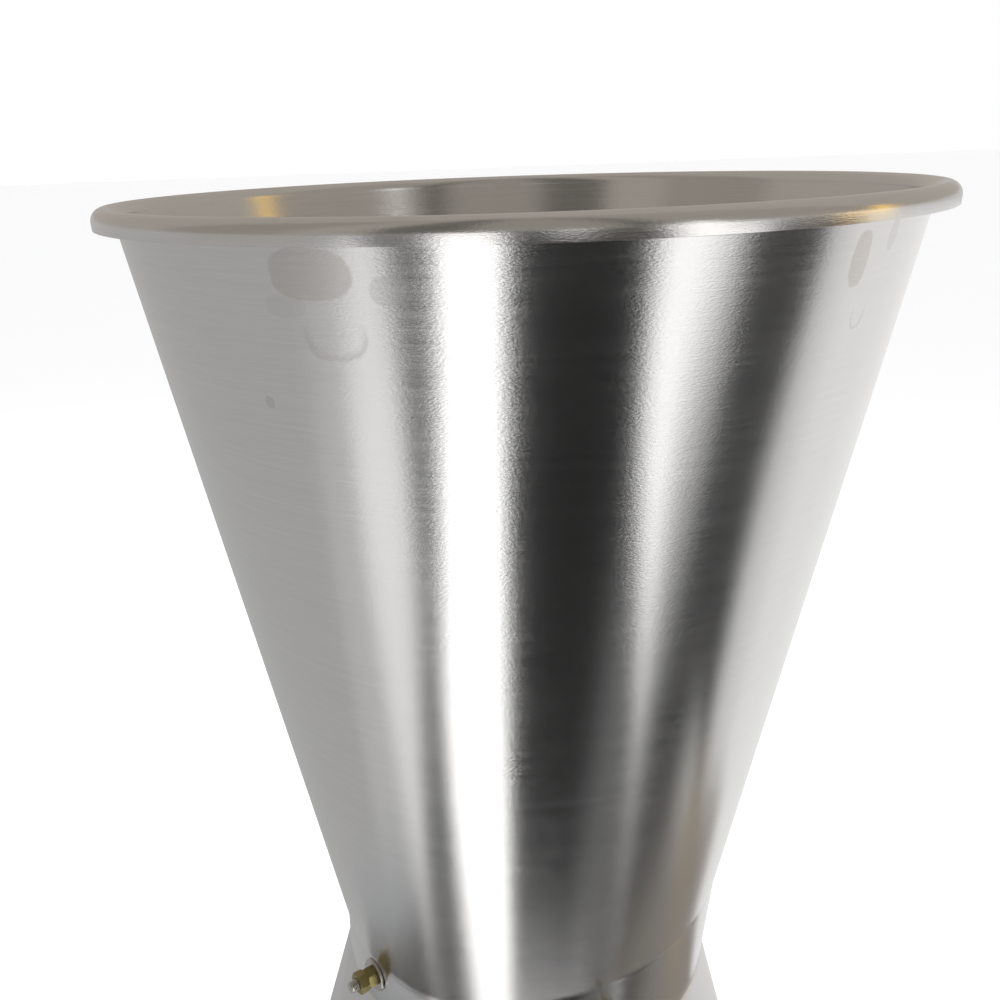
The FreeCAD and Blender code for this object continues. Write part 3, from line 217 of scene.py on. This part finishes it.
def brushed(name, level, warm=0.012, roundwise=False, grain=(14, 2600, 2600), rough=0.27, stains=0.5,
            grit=0.3):
    """Satin brushed steel: long fine scratches, a few stray ones across them, and hand smudges."""
    paint = Paint(name)
    if roundwise:
        vector, angle, height = round_coordinates(paint)
        paint.set(Anisotropic=0.6, Anisotropic_Rotation=0.25)
        tangent = paint.add("Tangent", {"direction_type": "RADIAL", "axis": "Z"})
        paint.set(Tangent=tangent.outputs[0])
    else:
        vector = paint.position()
    fine = paint.noise(paint.scaled(vector, grain), 1.0, 4.0, 0.6)
    coarse = paint.noise(paint.scaled(vector, tuple(g * 0.22 for g in grain)), 1.0, 3.0)
    stray = paint.noise(paint.scaled(vector, tuple(g * 0.5 for g in grain), (0, 0, 0.5)), 1.0, 2.0, 0.4)
    stray = paint.ramp(stray, [(0.0, 0.0), (0.63, 0.0), (0.72, 1.0)])
    smudge = paint.ramp(paint.noise(vector, 9.0, 5.0, 0.55), [(0.35, 0.0), (0.62, 1.0)])
    cloud = paint.noise(vector, 3.0, 2.0)
    dust = paint.ramp(paint.noise(vector, 420.0, 2.0), [(0.70, 0.0), (0.80, 1.0)])
    scratch = paint.math("ADD", paint.math("MULTIPLY", fine, 0.65), paint.math("MULTIPLY", coarse, 0.35))
    shade = paint.mix(scratch, grey(level * 0.90, warm), grey(min(1.0, level * 1.08), warm))
    shade = paint.mix(paint.math("MULTIPLY", smudge, 0.10 * stains), shade, grey(level * 0.72, warm * 4))
    shade = paint.mix(paint.math("MULTIPLY", dust, 0.10 * stains), shade, grey(level * 0.6, warm * 3))
    roughness = paint.math("ADD", paint.math("MULTIPLY", scratch, 0.16), rough - 0.08)
    roughness = paint.math("ADD", roughness, paint.math("MULTIPLY", smudge, 0.05 * stains))
    roughness = paint.math("ADD", roughness, paint.math("MULTIPLY", cloud, 0.04))
    if roundwise:
        shade, roughness = hand_marks(paint, shade, roughness, angle, height)
    height_map = paint.math("ADD", scratch, paint.math("MULTIPLY", stray, 0.12))
    speckle = paint.noise(paint.scaled(vector, (720, 2500, 720), (0, 0, 0.12)), 1.0, 2.0, 0.7)
    height_map = paint.math("ADD", height_map, paint.math("MULTIPLY", speckle, grit))
    paint.bump(height_map, 0.00004, 0.5)
    paint.set(Base_Color=shade, Roughness=roughness, Metallic=1.0)
    return paint.material


def oval(paint, angle, height, turn, level, wide, tall, hollow):
    """1 inside an uneven oval at an angle round the axis and a height, and 0 outside. A hollow one is
    only the lower rim of a dried drop."""
    across = paint.math("MULTIPLY", paint.math("SUBTRACT", angle, math.radians(turn)), 0.16 / wide)
    up = paint.math("MULTIPLY", paint.math("SUBTRACT", height, level), 1 / tall)
    reach = paint.math("ADD", paint.math("POWER", paint.math("ABSOLUTE", across), 2.6),
                       paint.math("POWER", paint.math("ABSOLUTE", up), 2.6))
    place = paint.add("CombineXYZ", X=paint.math("MULTIPLY", angle, 0.16), Y=height).outputs[0]
    wobble = paint.noise(place, 90.0, 4.0, 0.6)
    reach = paint.math("ADD", reach, paint.math("MULTIPLY", paint.math("SUBTRACT", wobble, 0.5), 0.9))
    if hollow:
        rim = paint.ramp(reach, [(0.35, 0.0), (0.75, 1.0), (1.0, 0.0)])
        down = paint.math("SUBTRACT", 0.5, paint.math("MULTIPLY", up, 0.5))
        below = paint.ramp(down, [(0.4, 0.0), (0.7, 1.0)])
        return paint.math("MULTIPLY", rim, below)
    return paint.ramp(reach, [(0.80, 1.0), (1.0, 0.0)])


def hand_marks(paint, shade, roughness, angle, height):
    """The hopper's dried drops and finger marks, most of them under the rim at the left and at the right.
    A mark is its angle round the axis, height from the rim's top, half width, half height, strength, and
    whether it is hollow."""
    marks = [(-26.6, -0.0182, 0.0150, 0.0088, 0.70, False), (-24.7, -0.0360, 0.0120, 0.0120, 0.60, True),
             (-17.5, -0.0230, 0.0060, 0.0050, 0.30, False), (-30.5, -0.0290, 0.0080, 0.0040, 0.25, False),
             (38.5, -0.0220, 0.0050, 0.0100, 0.70, False), (41.5, -0.0400, 0.0045, 0.0080, 0.55, True),
             (45.0, -0.0150, 0.0030, 0.0060, 0.40, False), (-36.4, -0.0648, 0.0022, 0.0024, 0.60, False),
             (104, -0.0900, 0.0160, 0.0120, 0.40, True), (171, -0.1400, 0.0200, 0.0140, 0.40, True),
             (-120, -0.2000, 0.0200, 0.0120, 0.40, False)]
    for turn, drop, wide, tall, amount, hollow in marks:
        mark = oval(paint, angle, height, turn, RIM_TOP + drop, wide, tall, hollow)
        shade = paint.mix(paint.math("MULTIPLY", mark, amount * 0.45), shade, (0.42, 0.38, 0.33, 1))
        roughness = paint.math("ADD", roughness, paint.math("MULTIPLY", mark, amount * 0.12))
    return shade, roughness


def painted(name, colour, rough=0.42, speck=0.2):
    """Sprayed enamel with a fine orange peel, scuffs and dust."""
    paint = Paint(name)
    vector = paint.position()
    peel = paint.noise(vector, 900.0, 2.0)
    scuff = paint.ramp(paint.noise(vector, 26.0, 6.0, 0.7), [(0.55, 0.0), (0.75, 1.0)])
    tone = paint.noise(vector, 5.0, 3.0)
    dark = tuple(c * 0.82 for c in colour) + (1,)
    light = tuple(min(1.0, c * 1.12) for c in colour) + (1,)
    dusty = tuple(c * 0.75 + 0.13 for c in colour) + (1,)
    shade = paint.mix(tone, dark, light)
    shade = paint.mix(paint.math("MULTIPLY", scuff, speck), shade, dusty)
    paint.bump(peel, 0.00008, 0.3)
    paint.set(Base_Color=shade, Metallic=0.0,
              Roughness=paint.math("ADD", rough, paint.math("MULTIPLY", scuff, 0.2)))
    paint.shader.inputs["Coat Weight"].default_value = 0.15
    return paint.material


def cast(name, level, metallic=0.8):
    """Cast or forged metal with a grainy skin and oily patches."""
    paint = Paint(name)
    vector = paint.position()
    grain = paint.noise(vector, 700.0, 4.0, 0.65)
    patch = paint.noise(vector, 22.0, 4.0)
    shade = paint.mix(patch, grey(level * 0.75, 0.02), grey(level * 1.15, 0.0))
    shade = paint.mix(paint.math("MULTIPLY", grain, 0.35), shade, grey(level * 0.6, 0.03))
    paint.bump(grain, 0.00015, 0.4)
    paint.set(Base_Color=shade, Metallic=metallic,
              Roughness=paint.math("ADD", 0.4, paint.math("MULTIPLY", patch, 0.2)))
    return paint.material


def machined(name, colour, rough=0.22, rings=1500.0, axis=(1, 0.02, 0.02)):
    """Turned steel: fine tool rings across the axis, with light oil staining."""
    paint = Paint(name)
    vector = paint.position()
    lines = paint.noise(paint.scaled(vector, tuple(rings * part for part in axis)), 1.0, 3.0)
    stain = paint.noise(vector, 35.0, 5.0, 0.6)
    dark = tuple(c * 0.78 for c in colour) + (1,)
    light = tuple(min(1.0, c * 1.1) for c in colour) + (1,)
    shade = paint.mix(lines, dark, light)
    shade = paint.mix(paint.math("MULTIPLY", stain, 0.22), shade, tuple(c * 0.6 for c in colour) + (1,))
    paint.bump(lines, 0.00003, 0.4)
    paint.set(Base_Color=shade, Metallic=1.0,
              Roughness=paint.math("ADD", rough, paint.math("MULTIPLY", stain, 0.2)))
    return paint.material


def moulded(name, colour, rough=0.5, grain=1200.0):
    """Moulded rubber or plastic: a fine pebble, dusty in patches."""
    paint = Paint(name)
    vector = paint.position()
    pebble = paint.noise(vector, grain, 3.0)
    patch = paint.noise(vector, 18.0, 5.0, 0.65)
    light = tuple(min(1.0, c * 1.15 + 0.02) for c in colour) + (1,)
    shade = paint.mix(patch, tuple(c * 0.88 for c in colour) + (1,), light)
    paint.bump(pebble, 0.0001, 0.35)
    paint.set(Base_Color=shade, Metallic=0.0,
              Roughness=paint.math("ADD", rough - 0.08, paint.math("MULTIPLY", patch, 0.16)))
    return paint.material


def make_materials():
    return {
        "stainless": brushed("stainless", 0.66, grain=(16, 2200, 2200)),
        "hopper": brushed("hopper_steel", 0.70, roundwise=True, grain=(40, 1500, 60), rough=0.16, grit=2.1),
        "stainless_frame": brushed("stainless_tube", 0.58, grain=(900, 900, 18), rough=0.32),
        "guard_paint": painted("guard_paint", (0.33, 0.34, 0.35)),
        "motor_paint": painted("motor_paint", (0.10, 0.17, 0.24), rough=0.38),
        "cast": cast("cast_iron", 0.22),
        "roller_metal": machined("roller_metal", (0.74, 0.75, 0.76), rough=0.3),
        "shaft_steel": machined("shaft_steel", (0.62, 0.61, 0.60)),
        "gear_steel": machined("gear_steel", (0.36, 0.35, 0.34), rough=0.3),
        "fastener": machined("fastener", (0.60, 0.58, 0.54), rough=0.2, rings=900.0, axis=(1, 1, 1)),
        "nut_olive": machined("nut_olive", (0.36, 0.30, 0.13), rough=0.2, rings=900.0, axis=(1, 1, 1)),
        "rubber": moulded("black_rubber", (0.03, 0.03, 0.03), rough=0.7),
        "belt_rubber": moulded("belt_rubber", (0.025, 0.025, 0.027), rough=0.65),
        "food_rubber": moulded("food_rubber", (0.72, 0.70, 0.64), rough=0.55),
        "plastic_black": moulded("black_plastic", (0.035, 0.035, 0.037), rough=0.45),
        "plastic_grey": moulded("grey_plastic", (0.52, 0.53, 0.53), rough=0.42),
        "plastic_green": moulded("green_plastic", (0.02, 0.30, 0.07), rough=0.28, grain=300.0),
        "plastic_red": moulded("red_plastic", (0.55, 0.02, 0.02), rough=0.28, grain=300.0),
        "winding": cast("laminations", 0.16, metallic=0.6),
    }


# ---- mesh helpers ----

def new_piece(name, vertices, faces, material, body="machine", slot=None, sharp=35):
    mesh = bpy.data.meshes.new(name)
    mesh.from_pydata(vertices, [], faces)
    mesh.validate()
    mesh.polygons.foreach_set("use_smooth", [True] * len(mesh.polygons))
    mesh.set_sharp_from_angle(angle=math.radians(sharp))
    mesh.materials.append(material)
    piece = bpy.data.objects.new(name, mesh)
    bpy.context.scene.collection.objects.link(piece)
    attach(piece, body)
    return piece


def lathe(profile, count, place=Matrix.Identity(4), closed=True):
    """A profile of (radius, height) points, or a function of the angle that gives one, turned about Z.
    Returns vertices and faces."""
    vertices, faces = [], []
    for step in range(count):
        angle = 2 * math.pi * step / count
        spin = Vector((math.cos(angle), math.sin(angle), 0))
        points = profile(angle) if callable(profile) else profile
        vertices += [place @ (spin * radius + Vector((0, 0, height))) for radius, height in points]
    size = len(points)
    last = size if closed else size - 1
    for step in range(count):
        here, there = step * size, (step + 1) % count * size
        for k in range(last):
            after = (k + 1) % size
            faces.append((here + k, there + k, there + after, here + after))
    return vertices, faces


def arc(centre, radius, start, stop, count):
    """Points on an arc between two angles in degrees, both ends included."""
    return [(centre[0] + radius * math.cos(math.radians(start + (stop - start) * k / count)),
             centre[1] + radius * math.sin(math.radians(start + (stop - start) * k / count)))
            for k in range(count + 1)]


def line(start, stop, count):
    """Evenly spaced points from the start up to the stop, which is left out."""
    return [(start[0] + (stop[0] - start[0]) * k / count, start[1] + (stop[1] - start[1]) * k / count)
            for k in range(count)]


# ---- hopper ----

def cone_reach(height):
    """The cone's outer radius at a height."""
    low, lip = (NECK, NECK_BOTTOM + SEAM_RISE), (RIM - 2 * LIP_ROLL + WALL, RIM_TOP - LIP_ROLL)
    return low[0] + (lip[0] - low[0]) * (height - low[1]) / (lip[1] - low[1])


def hopper_profile(angle):
    """The section of the sheet from the neck's foot up the outside, over the lip and down the inside.
    The seam between neck and cone is a little aslant, higher on the right."""
    low_seam = NECK_BOTTOM + SEAM_RISE
    seam = max(low_seam, low_seam + SEAM_LIFT + SEAM_LEAN * math.cos(angle))
    at_seam = cone_reach(seam)
    centre = (RIM - LIP_ROLL, RIM_TOP - LIP_ROLL)
    outer = (RIM - 2 * LIP_ROLL + WALL, centre[1])
    profile = line((NECK, NECK_BOTTOM), (at_seam, seam - WELD_REACH), 16)
    profile += [(at_seam + 0.05 * MM, seam - WELD_REACH), (at_seam + 0.12 * MM, seam),
                (cone_reach(seam + WELD_REACH) + 0.05 * MM, seam + WELD_REACH)]
    profile += line((cone_reach(seam + 1 * MM), seam + 1 * MM), outer, 90)
    profile += arc(centre, LIP_ROLL - WALL, 180, 0, 14)
    profile += [(RIM - WALL, centre[1] - LIP_SKIRT), (RIM - WALL * 0.5, centre[1] - LIP_SKIRT - 0.15 * MM),
                (RIM - 0.15 * MM, centre[1] - LIP_SKIRT)]
    profile += arc(centre, LIP_ROLL, 0, 180, 24)
    profile += line((RIM - 2 * LIP_ROLL - 0.05 * MM, centre[1] - 0.3 * MM), (at_seam - WALL, seam), 90)
    profile += line((at_seam - WALL, seam), (NECK - WALL, NECK_BOTTOM), 12)
    profile += [(NECK - WALL, NECK_BOTTOM)]
    return profile


def neck_place(turn, reach):
    """A place at the neck bolts' height whose Z points outward."""
    angle = math.radians(turn)
    out = Vector((math.sin(angle), -math.cos(angle), 0))
    origin = Vector((AXIS.x, AXIS.y, NECK_BOTTOM + NECK_BOLT_RISE)) + out * reach
    return Matrix.Translation(origin) @ out.to_track_quat("Z", "Y").to_matrix().to_4x4()


def cut_with(piece, vertices, faces, name):
    """Cut the closed shapes of a mesh out of a piece."""
    mesh = bpy.data.meshes.new(name)
    mesh.from_pydata(vertices, [], faces)
    tool = bpy.data.objects.new(name, mesh)
    bpy.context.scene.collection.objects.link(tool)
    modifier = piece.modifiers.new("cut", "BOOLEAN")
    modifier.object = tool
    modifier.operation = "DIFFERENCE"
    modifier.solver = "EXACT"
    bpy.context.view_layer.update()
    shape = bpy.data.meshes.new_from_object(piece.evaluated_get(bpy.context.evaluated_depsgraph_get()))
    piece.modifiers.clear()
    piece.data = shape
    bpy.data.objects.remove(tool)


def make_hopper(materials):
    """The funnel with its rolled lip and drilled neck, in place of the CAD node."""
    place = Matrix.Translation((AXIS.x, AXIS.y, 0))
    vertices, faces = lathe(hopper_profile, 360, place)
    hopper = new_piece("hopper_shell", vertices, faces, materials["hopper"], slot="stainless")
    bars, sides = [], []
    for turn in (*NECK_BOLT_TURNS, SPARE_HOLE_TURN):
        reach = SPARE_HOLE if turn == SPARE_HOLE_TURN else BOLT_HOLE
        rod = [(0.0, -HOLE_TOOL), (reach, -HOLE_TOOL), (reach, HOLE_TOOL), (0.0, HOLE_TOOL)]
        ring, quads = lathe(rod, 24, neck_place(turn, NECK), closed=False)
        sides += [tuple(index + len(bars) for index in quad) for quad in quads]
        bars += ring
    cut_with(hopper, bars, sides, "neck_holes")
    hopper.data.set_sharp_from_angle(angle=math.radians(35))
    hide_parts("hopper")


# ---- neck fasteners ----

def threaded(radius, pitch, length, place, count=28):
    """A shank with a helical V thread, ending in a small chamfer."""
    turns = length / pitch
    rings = int(turns * 10)
    depth = 0.6 * pitch
    vertices, faces = [], []
    for step in range(rings + 1):
        height = length * step / rings
        for k in range(count):
            angle = 2 * math.pi * k / count
            phase = (height / pitch - k / count) % 1.0
            ridge = abs(phase - 0.5) * 2
            end = max(0.0, 1 - (length - height) / (1.2 * pitch))
            reach = radius - depth * 0.5 * ridge - end * depth * 0.6
            vertices.append(place @ Vector((reach * math.cos(angle), reach * math.sin(angle), height)))
    for step in range(rings):
        for k in range(count):
            a, b = step * count + k, step * count + (k + 1) % count
            faces.append((a, b, b + count, a + count))
    faces.append(tuple(range(count))[::-1])
    faces.append(tuple(rings * count + k for k in range(count)))
    return vertices, faces


def hex_nut(flats, bore, thick, place):
    """A nut with chamfered corners on both faces."""
    chamfer = 0.06 * flats
    count = 36
    reach = flats / 2 / math.cos(math.radians(30))
    rows = []
    for height, shrink in ((0, 1), (chamfer * 0.5, 0), (thick - chamfer * 0.5, 0), (thick, 1)):
        row = []
        for k in range(count):
            angle = 2 * math.pi * k / count
            side = (angle + math.pi / 6) % (math.pi / 3) - math.pi / 6
            hexagon = flats / 2 / math.cos(side)
            limit = reach - chamfer if shrink else reach
            row.append((min(hexagon, limit), angle, height))
        rows.append(row)
    rows.append([(bore + 0.3 * MM, 2 * math.pi * k / count, thick) for k in range(count)])
    rows.append([(bore, 2 * math.pi * k / count, thick - 0.4 * MM) for k in range(count)])
    rows.append([(bore, 2 * math.pi * k / count, 0.4 * MM) for k in range(count)])
    rows.append([(bore + 0.3 * MM, 2 * math.pi * k / count, 0) for k in range(count)])
    vertices = [place @ Vector((r * math.cos(a), r * math.sin(a), h)) for row in rows for r, a, h in row]
    faces = []
    for step in range(len(rows)):
        after = (step + 1) % len(rows)
        for k in range(count):
            n = (k + 1) % count
            faces.append((step * count + k, step * count + n, after * count + n, after * count + k))
    return vertices, faces


def join(meshes):
    """Several meshes, each vertices and faces, as one."""
    vertices, faces = [], []
    for points, sides in meshes:
        faces += [tuple(index + len(vertices) for index in side) for side in sides]
        vertices += points
    return vertices, faces


def make_neck_fasteners(materials):
    """The neck's bolts, with two nuts and a washer each, in place of the CAD nodes."""
    shanks, nuts, washers = [], [], []
    for turn in NECK_BOLT_TURNS:
        length = NECK + WASHER_THICK + 2 * NUT_THICK + BOLT_END - BOLT_SEAT
        shanks.append(threaded(BOLT_RADIUS, BOLT_PITCH, length, neck_place(turn, BOLT_SEAT)))
        back = neck_place(turn, BOLT_SEAT) @ Matrix.Rotation(math.pi, 4, "X")
        head = [(0.0, 0.0), (4.6 * MM, 0.0), (5.0 * MM, 0.5 * MM), (4.4 * MM, 2.6 * MM),
                (2.4 * MM, 3.7 * MM), (0.0, 4.0 * MM)]
        shanks.append(lathe(head, 32, back, closed=False))
        for level, nut_turn in enumerate(NUT_TURNS):
            spun = Matrix.Rotation(math.radians(nut_turn), 4, "Z")
            seat = neck_place(turn, NECK + WASHER_THICK + level * NUT_THICK) @ spun
            nuts.append(hex_nut(NUT_FLATS, NUT_BORE, NUT_THICK - 0.05 * MM, seat))
        edge = 0.3 * MM
        disc = [(WASHER_BORE, 0.0), (WASHER_RADIUS - edge, 0.0), (WASHER_RADIUS, edge),
                (WASHER_RADIUS, WASHER_THICK - edge), (WASHER_RADIUS - edge, WASHER_THICK),
                (WASHER_BORE, WASHER_THICK)]
        washers.append(lathe(disc, 48, neck_place(turn, NECK)))
    for name, shapes, slot in (("neck_bolts", shanks, "fastener"), ("neck_nuts", nuts, "nut_olive"),
                               ("neck_washers", washers, "fastener")):
        piece = new_piece(name + "_detail", *join(shapes), materials[slot], slot=slot, sharp=30)
        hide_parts(name)


# ---- CAD nodes that stay ----

EDGE_SOFTNESS = 0.5 * MM
EDGE_ANGLE = 40
SMOOTH_ANGLE = 35
PLAIN_EDGES = ("screen", "beater_paddles", "roller_gear_front", "roller_gear_rear", "motor_housing",
               "fan_cover", "motor_stator", "motor_rotor")


def dress(materials):
    """Give every carried-over CAD node its material, smooth rounds and softened edges."""
    for name, item in nodes.items():
        item.data.materials.clear()
        item.data.materials.append(materials[SLOTS[name]])
        item.data.polygons.foreach_set("use_smooth", [True] * len(item.data.polygons))
        weld = item.modifiers.new("weld", "WELD")
        weld.merge_threshold = 1e-6
        if name not in PLAIN_EDGES:
            bevel = item.modifiers.new("edges", "BEVEL")
            bevel.width = EDGE_SOFTNESS
            bevel.segments = 2
            bevel.limit_method = "ANGLE"
            bevel.angle_limit = math.radians(EDGE_ANGLE)
            bevel.harden_normals = True
        split = item.modifiers.new("split", "EDGE_SPLIT")
        split.split_angle = math.radians(SMOOTH_ANGLE)


# ---- studio ----

def emitter(name, colour, strength):
    """A plain glowing material for a reflector."""
    material = bpy.data.materials.new(name)
    material.use_nodes = True
    tree = material.node_tree
    tree.nodes.remove(tree.nodes["Principled BSDF"])
    light = tree.nodes.new("ShaderNodeEmission")
    light.inputs["Color"].default_value = (*colour, 1)
    light.inputs["Strength"].default_value = strength
    tree.links.new(light.outputs[0], tree.nodes["Material Output"].inputs["Surface"])
    return material


def panel(name, path, material):
    """A card seen only in reflections: a strip between two turns round the hopper, as (start, stop,
    distance from the axis, height) stations."""
    vertices, faces = [], []
    for start, stop, reach, height in path:
        for k in range(CARD_STEPS + 1):
            angle = math.radians(start + (stop - start) * k / CARD_STEPS)
            across, ahead = reach * math.sin(angle), reach * math.cos(angle)
            vertices.append(Vector((AXIS.x + across, AXIS.y - ahead, height)))
    for row in range(len(path) - 1):
        for k in range(CARD_STEPS):
            a = row * (CARD_STEPS + 1) + k
            faces.append((a, a + 1, a + CARD_STEPS + 2, a + CARD_STEPS + 1))
    mesh = bpy.data.meshes.new(name)
    mesh.from_pydata(vertices, [], faces)
    mesh.materials.append(material)
    card = bpy.data.objects.new(name, mesh)
    bpy.context.scene.collection.objects.link(card)
    card.visible_camera = False
    card.visible_diffuse = False
    card.visible_shadow = False
    card.visible_transmission = False


def area_light(name, place, target, size, power):
    """A soft white lamp that the steel doesn't mirror."""
    lamp = bpy.data.objects.new(name, bpy.data.lights.new(name, "AREA"))
    lamp.data.shape = "RECTANGLE"
    lamp.data.size, lamp.data.size_y = size
    lamp.data.energy = power
    lamp.location = place
    lamp.visible_glossy = False
    lamp.rotation_mode = "QUATERNION"
    lamp.rotation_quaternion = (Vector(target) - Vector(place)).to_track_quat("-Z", "Y")
    bpy.context.scene.collection.objects.link(lamp)


def make_studio():
    """A plain pale floor, a white world, three soft lamps and the reflectors."""
    floor_paint = Paint("studio_floor")
    cloud = floor_paint.noise(floor_paint.position(), 1.3, 2.0)
    shade = floor_paint.mix(cloud, (0.950, 0.950, 0.955, 1), (0.965, 0.965, 0.965, 1))
    floor_paint.set(Base_Color=shade, Roughness=0.8)
    mesh = bpy.data.meshes.new("floor")
    reach = 60
    mesh.from_pydata([(-reach, -reach, 0), (reach, -reach, 0), (reach, reach, 0), (-reach, reach, 0)], [],
                     [(0, 1, 2, 3)])
    mesh.materials.append(floor_paint.material)
    floor = bpy.data.objects.new("floor", mesh)
    bpy.context.scene.collection.objects.link(floor)
    world = bpy.data.worlds.new("studio")
    bpy.context.scene.world = world
    world.use_nodes = True
    world.node_tree.nodes["Background"].inputs["Color"].default_value = (1.0, 1.0, 1.0, 1)
    world.node_tree.nodes["Background"].inputs["Strength"].default_value = 1.0
    middle = (AXIS.x, AXIS.y, 1.0)
    area_light("key", (-2.2, -2.0, 3.0), middle, (1.6, 1.6), 60)
    area_light("fill", (2.6, -1.2, 2.4), middle, (1.4, 2.0), 30)
    area_light("back", (0.4, 2.8, 3.0), middle, (2.0, 1.2), 40)
    make_cards()


def make_cards():
    """Pale and dark reflectors round the hopper: wedges on the floor, a skirt, a wall and a ceiling.
    Turns are degrees round the hopper's axis from the camera's side, and a wedge's edge is given at each
    of the reaches."""
    reaches = (0.45, 0.70, 1.00, 1.35, 1.90, 2.60, WALL_REACH)
    edges = [
        (-180, -180, -180, -180, -180, -180, -180),
        (-100, -92, -84, -78, -72, -64, -52),
        (-76, -66, -64, -62, -58, -52, -46),
        (-75, -64, -50, -41, -39, -38, -40),
        (-38, -41, -38, -31, -27, -24, -23),
        (-14, -12, -10, -9, -8, -7, -7),
        (26, 28, 30, 33, 32, 32, 33),
        (52, 54, 48, 41, 33, 33, 34),
        (52, 54, 48, 47, 46, 50, 55),
        (54, 56, 52, 54, 57, 58, 59),
        (100, 97, 92, 86, 83, 84, 85),
        (122, 116, 108, 102, 98, 96, 95),
        (180, 180, 180, 180, 180, 180, 180),
    ]
    levels = (0.48, 0.60, 1.05, 0.17, 2.0, 0.02, 0.15, 1.5, 0.60, 0.06, 0.80, 0.95)
    for index, level in enumerate(levels):
        card = emitter("floor_light_%d" % index, (1.0, 1.0, 1.0), level)
        floor = [(a, b, reach, FLOOR_CARD) for a, b, reach in zip(edges[index], edges[index + 1], reaches)]
        panel("floor_card_%d" % index, floor, card)
    warm, plain, brown = (1.0, 0.76, 0.42), (1.0, 0.99, 0.98), (1.0, 0.92, 0.82)
    gold = (1.0, 0.62, 0.12)
    walls = [(-180, -90, 0.50, plain), (-90, -55, 0.46, brown), (-55, -24, 0.36, plain),
             (-24, -8, 1.2, plain), (-8, 4, 0.14, plain), (4, 14, 1.2, plain),
             (14, 30, 0.24, brown), (30, 46, 1.8, plain),
             (46, 64, 0.64, plain), (64, 76, 0.66, brown), (76, 95, 1.7, warm), (95, 180, 0.62, plain)]
    for index, (start, stop, level, tint) in enumerate(walls):
        card = emitter("wall_light_%d" % index, tint, level)
        wall = [(start, stop, WALL_REACH, WALL_FOOT), (start, stop, WALL_REACH, WALL_TOP)]
        panel("wall_card_%d" % index, wall, card)
    for index, level in enumerate(levels):
        card = emitter("skirt_light_%d" % index, plain, level)
        turns = (edges[index][-1], edges[index + 1][-1])
        skirt = [(*turns, WALL_REACH, FLOOR_CARD), (*turns, WALL_REACH, WALL_FOOT)]
        panel("skirt_card_%d" % index, skirt, card)
    ceilings = [(-180, -100, 0.44), (-100, -60, 0.34), (-60, -38, 0.42), (-38, -15, 0.16),
                (-15, 22, 0.34), (22, 30, 0.12), (30, 90, 0.38), (90, 180, 0.46)]
    for index, (start, stop, level) in enumerate(ceilings):
        card = emitter("ceiling_light_%d" % index, brown, level)
        dome = [(start, stop, WALL_REACH, WALL_TOP), (start, stop, 3.2, 3.4), (start, stop, 1.4, 4.4),
                (start, stop, 0.0, 4.6)]
        panel("ceiling_card_%d" % index, dome, card)
    for name, start, stop, tint in (("white", 37, 42, plain), ("gold", 90, 95, gold)):
        card = emitter(name + "_strip_light", tint, 1.6)
        panel(name + "_strip", [(start, stop, 3.95, WALL_TOP), (start, stop, 3.55, 2.4)], card)


make_camera()
materials = make_materials()
make_hopper(materials)
make_neck_fasteners(materials)
dress(materials)
make_studio()
bpy.context.scene.view_settings.view_transform = "Standard"
